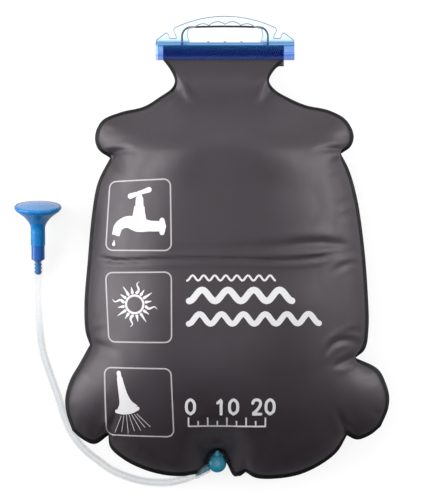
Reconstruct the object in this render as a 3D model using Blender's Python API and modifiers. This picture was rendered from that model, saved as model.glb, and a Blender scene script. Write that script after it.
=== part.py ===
"""Camp shower bag: two welded films, a mouth folded round a rod and clamped in a rail with its
hanger, an outlet in the bottom seam, and a hose to a shower head that is pulled open.

Metres, +Z up. The bag lies on its back on z = 0, +Y points to the hanger, and +X is the right side."""

import math

import bmesh
import bpy
import numpy as np
from mathutils import Euler, Matrix, Vector

# Bag
BAG_WIDTH = 0.420
BAG_LENGTH = 0.541
MOUTH_Y = 0.2838
FILM = 0.0006
SEAM_WIDTH = 0.005
SEAM_HEIGHT = 0.045
SEAM_DROOP = 0.009
DROOP_START = 0.090
PORT_Z = 0.020
PORT_DIP_WIDTH = 0.024
PORT_DIP_REACH = 0.060
CROWN = 0.084
BACK_DEPTH = 0.078
BOTTOM_REACH = 0.170
FLAT_NECK = 0.012
NECK_LENGTH = 0.115
GAP = 0.0003
OVERRUN = 0.0020
MERGE_DISTANCE = 0.00001

# Fold and clamp rail
ROD_RADIUS = 0.0025
TAIL_LENGTH = 0.010
RAIL_CLOSED_OVERHANG = 0.0097
RAIL_OPEN_OVERHANG = 0.0135
RAIL_HEIGHT = 0.0226
RAIL_WALL = 0.0020
RAIL_WEB = 0.0032
RAIL_CORNER = 0.0022
RAIL_END_WALL = 0.0028
RAIL_MARGIN = 0.0008
RAIL_RIM = 0.0006
RAIL_RIM_LENGTH = 0.0026
ROD_SETBACK = 0.0015
GUSSET_HEIGHT = 0.0012
GUSSET_LENGTH = 0.0030
GUSSET_PITCH = 0.0214

# Hanger, a clear plate that stands on the rail
HANGER_PLATE = 0.0030
HANGER_SETBACK = 0.0005
HANGER_RISE = 0.0335
HOOK_SPAN = 0.0240
HANGER_CROWN_DROP = 0.0150
HANGER_POST = 0.0160
FINGER_MARGIN = 0.0078
FINGER_DEPTH = 0.0038
FINGER_TOP = 0.0270
FINGERS = 4
HOOK_HEIGHT = 0.0126
HOOK_LIP = 0.0030
FOOT_EDGE = 0.0024
OPENING_LEAN = 0.0030
HOOK_SETBACK = 0.0132
NOTCH_FLOOR = 0.0050
NOTCH_UNDERCUT = 0.0024
NOTCH_WIDTH = 0.0092
HANGER_FILLET = 0.0016

# Wire bail behind the hanger
BAIL_WIRE = 0.0013
BAIL_MARGIN = 0.0065
BAIL_RISE = 0.0250
BAIL_BEND = 0.0120
BAIL_BOW = 0.0014
BAIL_FOOT = 0.0080
BAIL_FOOT_BEND = 0.0018
BAIL_BAR_SHARES = (-0.5, -0.25, 0, 0.25, 0.5)
LUG_LENGTH = 0.0050
LUG_WALL = 0.0014
LUG_OFFSET = 0.0022
PIVOT_DROP = 0.0048
LUG_ROOT = 0.0010

# Outlet in the bottom seam
PORT_WIDTH = 0.0200
PORT_RISE = 0.0062
BOAT_WIDTH = 0.0172
BOAT_LENGTH = 0.0100
BOAT_EDGE = 0.0004
OUTLET_BORE = 0.0030
SPIGOT_RADIUS = 0.0046
SPIGOT_PLAY = 0.0003
HUB_DISTANCE = 0.0152
HUB_RADIUS = 0.0120
HUB_HEIGHT = 0.0190
HUB_WALL = 0.0024
HUB_SOCKET = 0.0058
HUB_BOSS = 0.0026
WASHER = 0.0012
DOME_SIDE_SHARE = 0.45
UNDERSIDE_SHARE = 0.9
BARB_TURN = math.radians(207)

# Hose and the barbs inside its ends
HOSE_RADIUS = 0.0050
HOSE_BORE = 0.0035
HOSE_STRETCH = 0.0009
BARB_LENGTH = 0.0200
BARB_RADIUS = 0.0034
BARB_RIDGE = 0.0007
BARB_RIDGES = 4
BARB_BORE = 0.0022
BARB_ROOT = 0.0030
BARB_SLOPE_SHARE = 0.8

# Shower head, along its own axis from the hose to the face
HEAD_PLACE = Vector((-0.2436, 0.0265, 0.0128))
HEAD_TILT = math.radians(14)
HEAD_YAW = math.radians(0.8)
COLLAR_RADIUS = 0.00875
COLLAR_LENGTH = 0.0192
COLLAR_FLOOR = 0.0030
COLLAR_WALL = 0.0012
COLLAR_CHAMFER = 0.0007
VALVE_BORE = 0.0058
VALVE_SEAT = 0.0300
VALVE_TRAVEL = 0.0080
VALVE_PORT = 0.0030
PORT_WALL = 0.0030
BARREL_RADIUS = 0.0094
BARREL_LENGTH = 0.0138
SHOULDER_RADIUS = 0.0101
SHOULDER_LENGTH = 0.0125
FLARE_RADIUS = 0.0153
FLARE_LENGTH = 0.0101
DISC_LENGTH = 0.0113
RIM_RADIUS = 0.0306
RIM_LENGTH = 0.0047
HEAD_WALL = 0.0020
PLATE_THICKNESS = 0.0018
PLATE_INSET = 0.0004
PLATE_CROWN = 0.0016
JET_RADIUS = 0.0008
JET_RINGS = 3
JET_PITCH = 0.0072
PISTON_LENGTH = 0.0046
RING_SECTION = 0.0008
PLUG_RADIUS = 0.0046
PLUG_LENGTH = 0.0015
PLUG_TIP = 0.0012
PLUG_TIP_LENGTH = 0.0012
SEAL_LENGTH = 0.0022
CROSS_BORE = 0.0012

# Outline of the bag, as shares of its width from the middle and of its length from the bottom
LEFT_LOBE_SHARES = [(-0.470, 0.116), (-0.488, 0.159), (-0.491, 0.194), (-0.476, 0.237),
                    (-0.448, 0.275), (-0.415, 0.321)]
LEFT_SIDE_SHARES = [(-0.415, 0.321), (-0.428, 0.352), (-0.432, 0.414), (-0.422, 0.518),
                    (-0.407, 0.642), (-0.390, 0.709), (-0.353, 0.766)]
LEFT_SHOULDER_SHARES = [(-0.353, 0.766), (-0.390, 0.788), (-0.399, 0.819), (-0.378, 0.855),
                        (-0.322, 0.875), (-0.249, 0.889), (-0.200, 0.912), (-0.163, 0.933),
                        (-0.154, 0.950), (-0.166, 0.974), (-0.190, 1.000)]
RIGHT_LOBE_SHARES = [(0.479, 0.125), (0.501, 0.166), (0.505, 0.197), (0.494, 0.230),
                     (0.470, 0.263), (0.401, 0.290)]
RIGHT_SIDE_SHARES = [(0.401, 0.290), (0.430, 0.311), (0.441, 0.361), (0.438, 0.452),
                     (0.425, 0.571), (0.405, 0.673), (0.381, 0.738), (0.356, 0.776)]
RIGHT_SHOULDER_SHARES = [(0.356, 0.776), (0.387, 0.795), (0.395, 0.821), (0.372, 0.857),
                         (0.319, 0.880), (0.249, 0.892), (0.197, 0.909), (0.154, 0.929),
                         (0.135, 0.950), (0.147, 0.971), (0.181, 1.000)]
LEFT_HEM_SHARES = [(-0.470, 0.116), (-0.445, 0.098), (-0.402, 0.083), (-0.359, 0.104)]
LEFT_BOTTOM_SHARES = [(-0.359, 0.104), (-0.353, 0.075), (-0.310, 0.045), (-0.243, 0.020),
                      (-0.169, 0.007), (-0.107, 0.008), (-0.072, 0.022), (-0.058, 0.044)]
RIGHT_BOTTOM_SHARES = [(0.010, 0.042), (0.022, 0.015), (0.043, 0.004), (0.064, 0.015)]
RIGHT_HEM_SHARES = [(0.064, 0.015), (0.095, 0.002), (0.154, 0.000), (0.230, 0.010),
                    (0.298, 0.035), (0.347, 0.066), (0.375, 0.104)]
RIGHT_CORNER_SHARES = [(0.375, 0.104), (0.405, 0.094), (0.445, 0.104), (0.479, 0.125)]
PORT_MIDDLE_SHARE = -0.024
PORT_APEX_SHARE = 0.063
SIDE_STEPS = (5, 8, 10)
BOTTOM_STEPS = (2, 7, 3, 5, 2)
FOLD_ARC_STEPS = 6

# The power of an edge's swell, between an ellipse's 0.5 and a parabola's 1
SWELL_POWER_SHARE = 0.68
CORNER_REACH_SHARE = 0.45

# Free route of the hose, chosen by hand, from the outlet to the shower head
HOSE_ROUTE = [
    Vector((-0.0690, -0.2640, 0.0098)),
    Vector((-0.0900, -0.2650, 0.0060)),
    Vector((-0.1150, -0.2615, 0.0051)),
    Vector((-0.1480, -0.2490, 0.0051)),
    Vector((-0.1655, -0.2365, 0.0051)),
    Vector((-0.1830, -0.2225, 0.0051)),
    Vector((-0.1990, -0.2025, 0.0051)),
    Vector((-0.2095, -0.1800, 0.0051)),
    Vector((-0.2180, -0.1530, 0.0051)),
    Vector((-0.2290, -0.1220, 0.0051)),
    Vector((-0.2385, -0.0910, 0.0051)),
    Vector((-0.2425, -0.0560, 0.0053)),
    Vector((-0.2440, -0.0250, 0.0056)),
]
HOSE_POINTS = 34
HOSE_SIDES_RESOLUTION = 3

# Facets
FINE_STEPS = 28
COARSE_STEPS = 16
RING_SIDES = 8
COLLAR_STEPS = 32
HEAD_STEPS = 36
BELL_STEPS = 6
PLATE_STEPS = 3
DOME_STEPS = 5
JET_SIDES = 6
CROWN_STEPS = 10
SCALLOP_STEPS = 6


def srgb(red, green, blue):
    """A colour given as it looks on a screen, from 0 to 255, as Blender's linear colour."""
    linear = [((c / 255 + 0.055) / 1.055) ** 2.4 if c > 10 else c / 255 / 12.92 for c in (red, green, blue)]
    return (*linear, 1.0)


def material(name, colour, roughness, metallic=0.0, transmission=0.0):
    made = bpy.data.materials.new(name)
    made.use_nodes = True
    shader = made.node_tree.nodes["Principled BSDF"]
    shader.inputs["Base Color"].default_value = colour
    shader.inputs["Roughness"].default_value = roughness
    shader.inputs["Metallic"].default_value = metallic
    shader.inputs["Transmission Weight"].default_value = transmission
    made.diffuse_color = colour
    return made


def clear_scene():
    for obj in list(bpy.data.objects):
        bpy.data.objects.remove(obj, do_unlink=True)


def new_collection(name):
    made = bpy.data.collections.new(name)
    bpy.context.scene.collection.children.link(made)
    return made


def add_mesh(name, mesh, look=None, place=None):
    """A mesh object among the parts, or among the cutters when it has no material."""
    obj = bpy.data.objects.new(name, mesh)
    if look is None:
        CUTTERS.objects.link(obj)
        obj.hide_render = True
        obj.display_type = "WIRE"
    else:
        PARTS.objects.link(obj)
        mesh.materials.append(look)
    if place is not None:
        obj.matrix_world = place
    return obj


def boolean(obj, tool, operation="DIFFERENCE"):
    modifier = obj.modifiers.new(f"{operation.lower()} {tool.name}", "BOOLEAN")
    modifier.operation = operation
    modifier.object = tool
    modifier.solver = "EXACT"
    return modifier


def shade(obj, angle=40):
    obj.data.shade_smooth()
    obj.data.set_sharp_from_angle(angle=math.radians(angle))


def prism(name, outline, depth, place, look=None):
    """A flat outline with a thickness, centred on its own XY plane."""
    curve = bpy.data.curves.new(name, "CURVE")
    curve.dimensions = "2D"
    curve.fill_mode = "BOTH"
    curve.extrude = depth / 2
    spline = curve.splines.new("POLY")
    spline.points.add(len(outline) - 1)
    for point, (x, y) in zip(spline.points, outline):
        point.co = (x, y, 0, 1)
    spline.use_cyclic_u = True
    holder = bpy.data.objects.new(name, curve)
    bpy.context.scene.collection.objects.link(holder)
    return add_mesh(name, closed_mesh(holder), look, place)


def closed_mesh(holder):
    """The curve object's shape as one welded mesh. The curve is removed."""
    graph = bpy.context.evaluated_depsgraph_get()
    mesh = bpy.data.meshes.new_from_object(holder.evaluated_get(graph))
    curve = holder.data
    bpy.data.objects.remove(holder, do_unlink=True)
    bpy.data.curves.remove(curve)
    work = bmesh.new()
    work.from_mesh(mesh)
    bmesh.ops.remove_doubles(work, verts=work.verts, dist=MERGE_DISTANCE)
    bmesh.ops.recalc_face_normals(work, faces=work.faces)
    work.to_mesh(mesh)
    work.free()
    mesh.materials.clear()
    return mesh


def tube(name, points, radii, resolution, look=None):
    """A round tube or wire through the points, with filled caps, as a mesh."""
    curve = bpy.data.curves.new(name, "CURVE")
    curve.dimensions = "3D"
    curve.bevel_depth = 1
    curve.bevel_resolution = resolution
    curve.use_fill_caps = True
    spline = curve.splines.new("POLY")
    spline.points.add(len(points) - 1)
    for point, place, radius in zip(spline.points, points, radii):
        point.co = (*place, 1)
        point.radius = radius
    holder = bpy.data.objects.new(name, curve)
    bpy.context.scene.collection.objects.link(holder)
    return add_mesh(name, closed_mesh(holder), look)


def turned(name, profile, look=None, place=None, steps=FINE_STEPS):
    """A profile of (radius, height) turned about Z. It runs down its outer side, top to bottom."""
    mesh = bpy.data.meshes.new(name)
    work = bmesh.new()
    ring = [work.verts.new((radius, 0, height)) for radius, height in profile]
    on_axis = profile[0][0] == 0 and profile[-1][0] == 0
    for first, second in zip(ring, ring[1:] if on_axis else ring[1:] + ring[:1]):
        work.edges.new((first, second))
    work.to_mesh(mesh)
    work.free()
    obj = add_mesh(name, mesh, look, place)
    screw = obj.modifiers.new("turn", "SCREW")
    screw.steps = steps
    screw.render_steps = steps
    screw.use_merge_vertices = True
    screw.merge_threshold = MERGE_DISTANCE
    screw.use_smooth_shade = True
    return obj


def cylinder(name, radius, length, place, steps=COARSE_STEPS, look=None):
    """A round bar that stands on its own XY plane."""
    mesh = bpy.data.meshes.new(name)
    work = bmesh.new()
    bmesh.ops.create_cone(work, cap_ends=True, segments=steps, radius1=radius, radius2=radius,
                          depth=length, matrix=Matrix.Translation((0, 0, length / 2)))
    work.to_mesh(mesh)
    work.free()
    return add_mesh(name, mesh, look, place)


def aimed(origin, direction):
    """A place at the origin whose Z axis follows the direction."""
    return Matrix.Translation(origin) @ Vector(direction).to_track_quat("Z", "Y").to_matrix().to_4x4()


def along_x(x, y, z):
    """A place whose XY plane is the world's YZ plane, so that a prism there runs along X."""
    return Matrix.Translation((x, y, z)) @ Euler((math.pi / 2, 0, math.pi / 2)).to_matrix().to_4x4()


def smooth(share):
    share = np.clip(share, 0, 1)
    return share * share * (3 - 2 * share)


def through(knots, per_span=12):
    """Points on a smooth curve through the knots, whose ease at each knot follows its distances."""
    knots = np.asarray(knots, float)
    times = np.concatenate([[0], np.cumsum(np.sqrt(np.linalg.norm(np.diff(knots, axis=0), axis=1)))])
    slopes = np.gradient(knots, times, axis=0)
    found = []
    for a, b, slope_a, slope_b, span in zip(knots, knots[1:], slopes, slopes[1:], np.diff(times)):
        t = np.linspace(0, 1, per_span, endpoint=False)[:, None]
        found.append((2 * t**3 - 3 * t**2 + 1) * a + (3 * t**2 - 2 * t**3) * b
                     + (t**3 - 2 * t**2 + t) * span * slope_a + (t**3 - t**2) * span * slope_b)
    return np.vstack([*found, knots[-1:]])


def even(points, segments):
    """The same path with points at equal steps."""
    lengths = np.concatenate([[0], np.cumsum(np.linalg.norm(np.diff(points, axis=0), axis=1))])
    stations = np.linspace(0, lengths[-1], segments + 1)
    return np.stack([np.interp(stations, lengths, points[:, k]) for k in range(points.shape[1])], axis=1)


def rounded(corners, radius, steps=4):
    """An outline with each corner given as (x, y) or (x, y, own radius) turned into an arc."""
    made = []
    for index, corner in enumerate(corners):
        here = Vector(corner[:2])
        before = Vector(corners[index - 1][:2]) - here
        after = Vector(corners[(index + 1) % len(corners)][:2]) - here
        wanted = corner[2] if len(corner) > 2 else radius
        half = before.angle(after) / 2
        reach = min(wanted / math.tan(half), CORNER_REACH_SHARE * min(before.length, after.length))
        if reach <= 0 or math.pi / 2 - half < math.radians(4):
            made.append(tuple(here))
            continue
        start, end = here + before.normalized() * reach, here + after.normalized() * reach
        centre = here + (before.normalized() + after.normalized()).normalized() * reach / math.cos(half)
        first, turn = start - centre, (start - centre).angle_signed(end - centre)
        for step in range(steps + 1):
            angle = -turn * step / steps
            made.append((centre.x + first.x * math.cos(angle) - first.y * math.sin(angle),
                         centre.y + first.x * math.sin(angle) + first.y * math.cos(angle)))
    return made


# Places that several pieces share
FILM_PITCH = FILM + GAP
RAIL_Z = SEAM_HEIGHT - FILM_PITCH
FOLD_RADIUS = ROD_RADIUS + GAP + FILM / 2
CAVITY = FOLD_RADIUS + FILM_PITCH + FILM / 2 + GAP
MOUTH_LEFT = LEFT_SHOULDER_SHARES[-1][0] * BAG_WIDTH
MOUTH_RIGHT = RIGHT_SHOULDER_SHARES[-1][0] * BAG_WIDTH
RAIL_LEFT = MOUTH_LEFT - RAIL_CLOSED_OVERHANG
RAIL_RIGHT = MOUTH_RIGHT + RAIL_OPEN_OVERHANG
RAIL_X = (RAIL_LEFT + RAIL_RIGHT) / 2
RAIL_LENGTH = RAIL_RIGHT - RAIL_LEFT
HANGER_HALF = RAIL_LENGTH / 2 - HANGER_SETBACK
CROWN_HALF = HANGER_HALF - HOOK_SPAN
OPENING_HALF = CROWN_HALF - HANGER_POST
BAIL_HALF = OPENING_HALF + BAIL_MARGIN
RAIL_DEPTH = 2 * (CAVITY + RAIL_WALL)
RAIL_TOP = MOUTH_Y + RAIL_HEIGHT
ROD_Y = RAIL_TOP - RAIL_WEB - CAVITY
SLOT = 2 * FILM_PITCH + GAP + GAP / 2
LIP_TOP = ROD_Y - CAVITY - RAIL_MARGIN
BAG_BOTTOM = MOUTH_Y - BAG_LENGTH
PORT_X = PORT_MIDDLE_SHARE * BAG_WIDTH
PORT_Y = BAG_BOTTOM + PORT_APEX_SHARE * BAG_LENGTH


def seam_z(x, y):
    """The seam's height: level along the bag, lower towards its bottom, and drawn down at the outlet."""
    free = SEAM_HEIGHT - SEAM_DROOP * smooth((-DROOP_START - y) / (-DROOP_START - BAG_BOTTOM))
    beside = 1 - smooth((abs(x - PORT_X) - PORT_WIDTH / 2) / PORT_DIP_WIDTH)
    dip = beside * (1 - smooth((y - PORT_Y - BOAT_LENGTH) / PORT_DIP_REACH))
    return free + (PORT_Z - free) * dip


def outline():
    """The seam's edge as points on the left side, the bottom and the right side."""
    def run(shares, segments, start=None):
        knots = np.array(shares) * [BAG_WIDTH, BAG_LENGTH] + [0, BAG_BOTTOM]
        if start is not None:
            knots = np.vstack([start, knots])
        return even(through(knots), segments)

    port = [PORT_X + PORT_WIDTH * share for share in (-0.5, -0.25, 0, 0.25, 0.5)]
    port = np.array([(x, PORT_Y) for x in port])
    left = [run(LEFT_LOBE_SHARES, SIDE_STEPS[0]), run(LEFT_SIDE_SHARES, SIDE_STEPS[1]),
            run(LEFT_SHOULDER_SHARES, SIDE_STEPS[2])]
    right = [run(RIGHT_LOBE_SHARES, SIDE_STEPS[0]), run(RIGHT_SIDE_SHARES, SIDE_STEPS[1]),
             run(RIGHT_SHOULDER_SHARES, SIDE_STEPS[2])]
    bottom = [run(LEFT_HEM_SHARES, BOTTOM_STEPS[0]), run(LEFT_BOTTOM_SHARES, BOTTOM_STEPS[1])]
    bottom.append(np.array([bottom[1][-1], port[0]]))
    bottom.append(port)
    bottom.append(run(RIGHT_BOTTOM_SHARES, BOTTOM_STEPS[2], port[-1:]))
    bottom.append(run(RIGHT_HEM_SHARES, BOTTOM_STEPS[3]))
    bottom.append(run(RIGHT_CORNER_SHARES, BOTTOM_STEPS[4]))

    def joined(runs):
        return np.vstack([runs[0], *(r[1:] for r in runs[1:])])

    return joined(left), joined(bottom), joined(right)


def inset(chain, distance):
    """The chain of seam points moved into the bag. It runs down the left side and up the right."""
    steps = np.diff(chain, axis=0)
    normals = np.stack([-steps[:, 1], steps[:, 0]], axis=1)
    normals /= np.linalg.norm(normals, axis=1)[:, None]
    ends = np.vstack([normals[:1], normals, normals[-1:]])
    turned_in = ends[:-1] + ends[1:]
    scale = 2 / np.maximum(np.sum(turned_in**2, axis=1), 1.0)
    moved = chain + distance * turned_in * scale[:, None]
    moved[0] = chain[0] + [distance, 0]
    moved[-1] = chain[-1] - [distance, 0]
    return moved


def coons(left, bottom, right, top):
    """A grid of points stretched between the four edges, by row from the bottom to the top."""
    u = np.linspace(0, 1, len(bottom))[None, :, None]
    v = ((left[:, 1] - left[0, 1]) / (left[-1, 1] - left[0, 1]))[:, None, None]
    grid = (1 - u) * left[:, None] + u * right[:, None] + (1 - v) * bottom[None] + v * top[None]
    corner = ((1 - u) * (1 - v) * left[0] + u * (1 - v) * right[0]
              + (1 - u) * v * left[-1] + u * v * right[-1])
    return grid - corner


def rise(share):
    """How an edge swells: steep beside the seam and level at a share of 1."""
    return (1 - (1 - np.clip(share, 0, 1)) ** 2) ** SWELL_POWER_SHARE


def port_bulge(x, y):
    """How far each film stands off the seam's plane over the outlet."""
    across = np.clip(1 - (2 * (x - PORT_X) / PORT_WIDTH) ** 2, 0, 1)
    inward = np.clip((y - PORT_Y - BOAT_LENGTH) / BOAT_LENGTH, 0, 1)
    return PORT_RISE * across * (1 - smooth(inward))


def fold_path(radius, layer):
    """Side view of a film from the rail's mouth, over the rod and back out, as (y, z) rows.

    layer is the film's height in the slot above the rail's middle."""
    below = Vector((LIP_TOP - ROD_Y, layer))
    lean = math.asin(radius / below.length)
    toward = math.atan2(layer, -(LIP_TOP - ROD_Y))
    touch = math.pi / 2 - lean + toward
    angles = [math.pi - touch - (math.pi - touch) * k / (FOLD_ARC_STEPS / 2)
              for k in range(FOLD_ARC_STEPS // 2 + 1)]
    arc = [(ROD_Y + radius * math.cos(a), RAIL_Z + radius * math.sin(a)) for a in angles]
    front = [(LIP_TOP, RAIL_Z + layer), *arc]
    back = [(y, 2 * RAIL_Z - z) for y, z in reversed(front[:-1])]
    end = (MOUTH_Y - TAIL_LENGTH, RAIL_Z - layer)
    return [*front, *back, (MOUTH_Y, RAIL_Z - layer), end]


def panel(name, side, look):
    """One film of the bag. side is 1 for the front film and -1 for the back film."""
    left, bottom, right = outline()
    chain = np.vstack([left[::-1], bottom[1:], right[1:]])
    inner = inset(chain, SEAM_WIDTH)
    rows, columns = len(left), len(bottom)
    inner_left = inner[:rows][::-1]
    inner_bottom = inner[rows - 1:rows - 1 + columns]
    inner_right = inner[rows - 2 + columns:]
    inner_top = inner_left[-1] + np.linspace(0, 1, columns)[:, None] * (inner_right[-1] - inner_left[-1])
    grid = coons(inner_left, inner_bottom, inner_right, inner_top)

    x, y = grid[:, :, 0], grid[:, :, 1]
    across = (x - x[:, :1]) / (x[:, -1:] - x[:, :1])
    sides = rise(1 - abs(2 * across - 1))
    ends = rise((y - y[:1]) / BOTTOM_REACH)
    neck = smooth((MOUTH_Y - FLAT_NECK - y) / NECK_LENGTH)
    swell = sides * ends * neck
    level = seam_z(x, y)
    stand_off = FILM_PITCH / 2 + port_bulge(x, y)
    depth = CROWN if side > 0 else BACK_DEPTH
    height = level + side * (stand_off + depth * swell)
    height = np.maximum(height, FILM / 2)

    work = bmesh.new()
    body = [[work.verts.new((*grid[r, c], height[r, c])) for c in range(columns)] for r in range(rows)]
    edge_z = seam_z(*chain.T) + side * (FILM_PITCH / 2 + port_bulge(chain[:, 0], chain[:, 1]))
    edge = [work.verts.new((*place, z)) for place, z in zip(chain, edge_z)]
    rim = [row[0] for row in body[::-1]] + body[0][1:] + [row[-1] for row in body[1:]]
    for k in range(len(edge) - 1):
        work.faces.new((edge[k], edge[k + 1], rim[k + 1], rim[k]))
    last = [edge[0], *body[-1], edge[-1]]
    sheets = [body]
    strip = [last]
    radius = FOLD_RADIUS + (FILM_PITCH if side > 0 else 0)
    for y_row, z_row in fold_path(radius, FILM_PITCH * (1 + side / 2)):
        strip.append([work.verts.new((vert.co.x, y_row, z_row)) for vert in last])
    sheets.append(strip)
    for rows_of in sheets:
        for low, high in zip(rows_of, rows_of[1:]):
            for k in range(len(low) - 1):
                work.faces.new((low[k], low[k + 1], high[k + 1], high[k]))
    bmesh.ops.recalc_face_normals(work, faces=work.faces)
    mesh = bpy.data.meshes.new(name)
    work.to_mesh(mesh)
    work.free()
    obj = add_mesh(name, mesh, look)
    solid = obj.modifiers.new("film", "SOLIDIFY")
    solid.thickness = FILM
    solid.offset = 0
    obj.data.shade_smooth()
    return obj


def fold_rod(look):
    """The stiff rod that the mouth is folded over."""
    start, end = MOUTH_LEFT + ROD_SETBACK, MOUTH_RIGHT - ROD_SETBACK
    place = aimed((start, ROD_Y, RAIL_Z), (1, 0, 0))
    rod = cylinder("fold_rod", ROD_RADIUS, end - start, place, look=look)
    shade(rod)
    return rod


def rail_section(grow=0.0):
    low, high, half = MOUTH_Y, RAIL_TOP, RAIL_DEPTH / 2 + grow
    corners = [(low, -half), (high, -half), (high, half), (low, half)]
    return rounded([(y, z) for y, z in corners], RAIL_CORNER)


def pivot():
    """Where the bail's axis crosses the YZ plane."""
    return RAIL_TOP - PIVOT_DROP, RAIL_Z - RAIL_DEPTH / 2 - LUG_OFFSET


def clamp_rail(look):
    """A channel closed at its left end, with lips that grip the folded mouth."""
    rail = prism("clamp_rail", rail_section(), RAIL_LENGTH, along_x(RAIL_X, 0, RAIL_Z), look)
    rim_place = along_x(RAIL_RIGHT - RAIL_RIM_LENGTH / 2, 0, RAIL_Z)
    boolean(rail, prism("rail_rim", rail_section(RAIL_RIM), RAIL_RIM_LENGTH, rim_place), "UNION")
    top = RAIL_TOP - RAIL_WEB
    keyhole = [(MOUTH_Y - OVERRUN, -SLOT, 0), (LIP_TOP - RAIL_MARGIN, -SLOT),
               (LIP_TOP + RAIL_MARGIN, -CAVITY), (top, -CAVITY, CAVITY / 2), (top, CAVITY, CAVITY / 2),
               (LIP_TOP + RAIL_MARGIN, CAVITY), (LIP_TOP - RAIL_MARGIN, SLOT),
               (MOUTH_Y - OVERRUN, SLOT, 0)]
    length = RAIL_LENGTH - RAIL_END_WALL + OVERRUN
    middle = RAIL_X + (RAIL_END_WALL + OVERRUN) / 2
    section = rounded(keyhole, RAIL_MARGIN / 2, 3)
    channel = prism("rail_channel", section, length, along_x(middle, 0, RAIL_Z))
    pivot_y, pivot_z = pivot()
    ear = BAIL_WIRE + GAP + LUG_WALL
    back = RAIL_Z - RAIL_DEPTH / 2
    lug_outline = [(pivot_y - ear, back + LUG_ROOT, 0), (pivot_y - ear, pivot_z - ear, ear),
                   (pivot_y + ear, pivot_z - ear, ear), (pivot_y + ear, back + LUG_ROOT, 0)]
    for name, way in (("left", -1), ("right", 1)):
        middle_x = RAIL_X + way * (BAIL_HALF - BAIL_WIRE - GAP - LUG_LENGTH / 2)
        lug = prism(f"lug_{name}", rounded(lug_outline, 0, 4), LUG_LENGTH, along_x(middle_x, 0, 0))
        boolean(rail, lug, "UNION")
    boolean(rail, channel)
    for name, way in (("left", -1), ("right", 1)):
        start = (RAIL_X + way * (BAIL_HALF - BAIL_FOOT - OVERRUN), pivot_y, pivot_z)
        place = aimed(start, (way, 0, 0))
        boolean(rail, cylinder(f"pivot_bore_{name}", BAIL_WIRE + GAP, BAIL_FOOT + OVERRUN, place))
    for index in (-1, 0, 1):
        shape = rounded([(-GUSSET_LENGTH / 2, -GUSSET_HEIGHT), (GUSSET_LENGTH / 2, -GUSSET_HEIGHT),
                         (GUSSET_LENGTH / 2, GUSSET_HEIGHT), (-GUSSET_LENGTH / 2, GUSSET_HEIGHT)],
                        GUSSET_HEIGHT / 2, 2)
        place = Matrix.Translation((RAIL_X + index * GUSSET_PITCH, RAIL_TOP, RAIL_Z))
        boolean(rail, prism(f"gusset_{index + 2}", shape, RAIL_DEPTH / 2, place), "UNION")
    shade(rail)
    return rail


def hanger_outline():
    """A crown with finger scallops under it, standing on two feet that each hook round a cord notch."""
    radius = (CROWN_HALF**2 + HANGER_CROWN_DROP**2) / (2 * HANGER_CROWN_DROP)
    crown = []
    for step in range(CROWN_STEPS):
        x = CROWN_HALF * step / CROWN_STEPS
        crown.append((x, HANGER_RISE - radius + math.sqrt(radius**2 - x**2), 0))
    notch = CROWN_HALF - NOTCH_UNDERCUT
    hook_tip = HANGER_HALF - HOOK_SETBACK
    hook = [(CROWN_HALF, HANGER_RISE - HANGER_CROWN_DROP),
            (CROWN_HALF + HANGER_FILLET, HOOK_HEIGHT + 2 * HANGER_FILLET),
            (notch, NOTCH_FLOOR + HANGER_FILLET), (notch, NOTCH_FLOOR), (notch + NOTCH_WIDTH, NOTCH_FLOOR),
            (hook_tip - HOOK_LIP, HOOK_HEIGHT - HOOK_LIP), (hook_tip, HOOK_HEIGHT),
            (HANGER_HALF, FOOT_EDGE), (HANGER_HALF, 0, 0)]
    inner = [(OPENING_HALF - OPENING_LEAN, 0, 0), (OPENING_HALF, FINGER_TOP / 3, OPENING_LEAN),
             (OPENING_HALF - OPENING_LEAN / 2, FINGER_TOP * 2 / 3, OPENING_LEAN)]
    chord = (OPENING_HALF - FINGER_MARGIN) / FINGERS
    bend = (chord**2 + FINGER_DEPTH**2) / (2 * FINGER_DEPTH)
    scallops = []
    for finger in range(FINGERS // 2):
        middle = chord * (FINGERS - 1 - 2 * finger)
        for step in range(1, SCALLOP_STEPS + 1):
            x = chord * (1 - 2 * step / SCALLOP_STEPS)
            drop = bend - math.sqrt(bend**2 - x**2)
            tip = step == SCALLOP_STEPS
            scallops.append((middle + x, FINGER_TOP - drop - (middle + x) ** 2 / (2 * radius),
                             HANGER_FILLET / 2 if tip else 0))
    right = [*crown[1:], *hook, *inner, *scallops]
    left = [(-x, *rest) for x, *rest in right[-2::-1]]
    return rounded([crown[0], *right, *left], HANGER_FILLET, 3)


def clear_hanger(look):
    place = Matrix.Translation((RAIL_X, RAIL_TOP + GAP, RAIL_Z))
    hanger = prism("hanger_handle", hanger_outline(), HANGER_PLATE, place, look)
    shade(hanger)
    return hanger


def wire_bail(look):
    """A wire whose feet turn inwards into the rail's lugs."""
    pivot_y, pivot_z = pivot()
    foot = BAIL_HALF - BAIL_FOOT
    bar = [(BAIL_HALF * s, BAIL_RISE + BAIL_BOW * (1 - s**2)) for s in BAIL_BAR_SHARES]
    corners = [(-foot, 0), (-BAIL_HALF, 0), (-BAIL_HALF, BAIL_RISE), *bar,
               (BAIL_HALF, BAIL_RISE), (BAIL_HALF, 0), (foot, 0)]
    radii = [0, BAIL_FOOT_BEND, BAIL_BEND, *[0] * len(bar), BAIL_BEND, BAIL_FOOT_BEND, 0]
    path = []
    for index, (corner, radius) in enumerate(zip(corners, radii)):
        if radius == 0:
            path.append(corner)
            continue
        path += rounded([corners[index - 1], (*corner, radius), corners[index + 1]], 0, 6)[1:-1]
    bail = tube("wire_bail", [(*point, 0) for point in path], [BAIL_WIRE] * len(path), 2, look)
    bail.matrix_world = Matrix.Translation((RAIL_X, pivot_y, pivot_z))
    shade(bail)
    return bail


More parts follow.
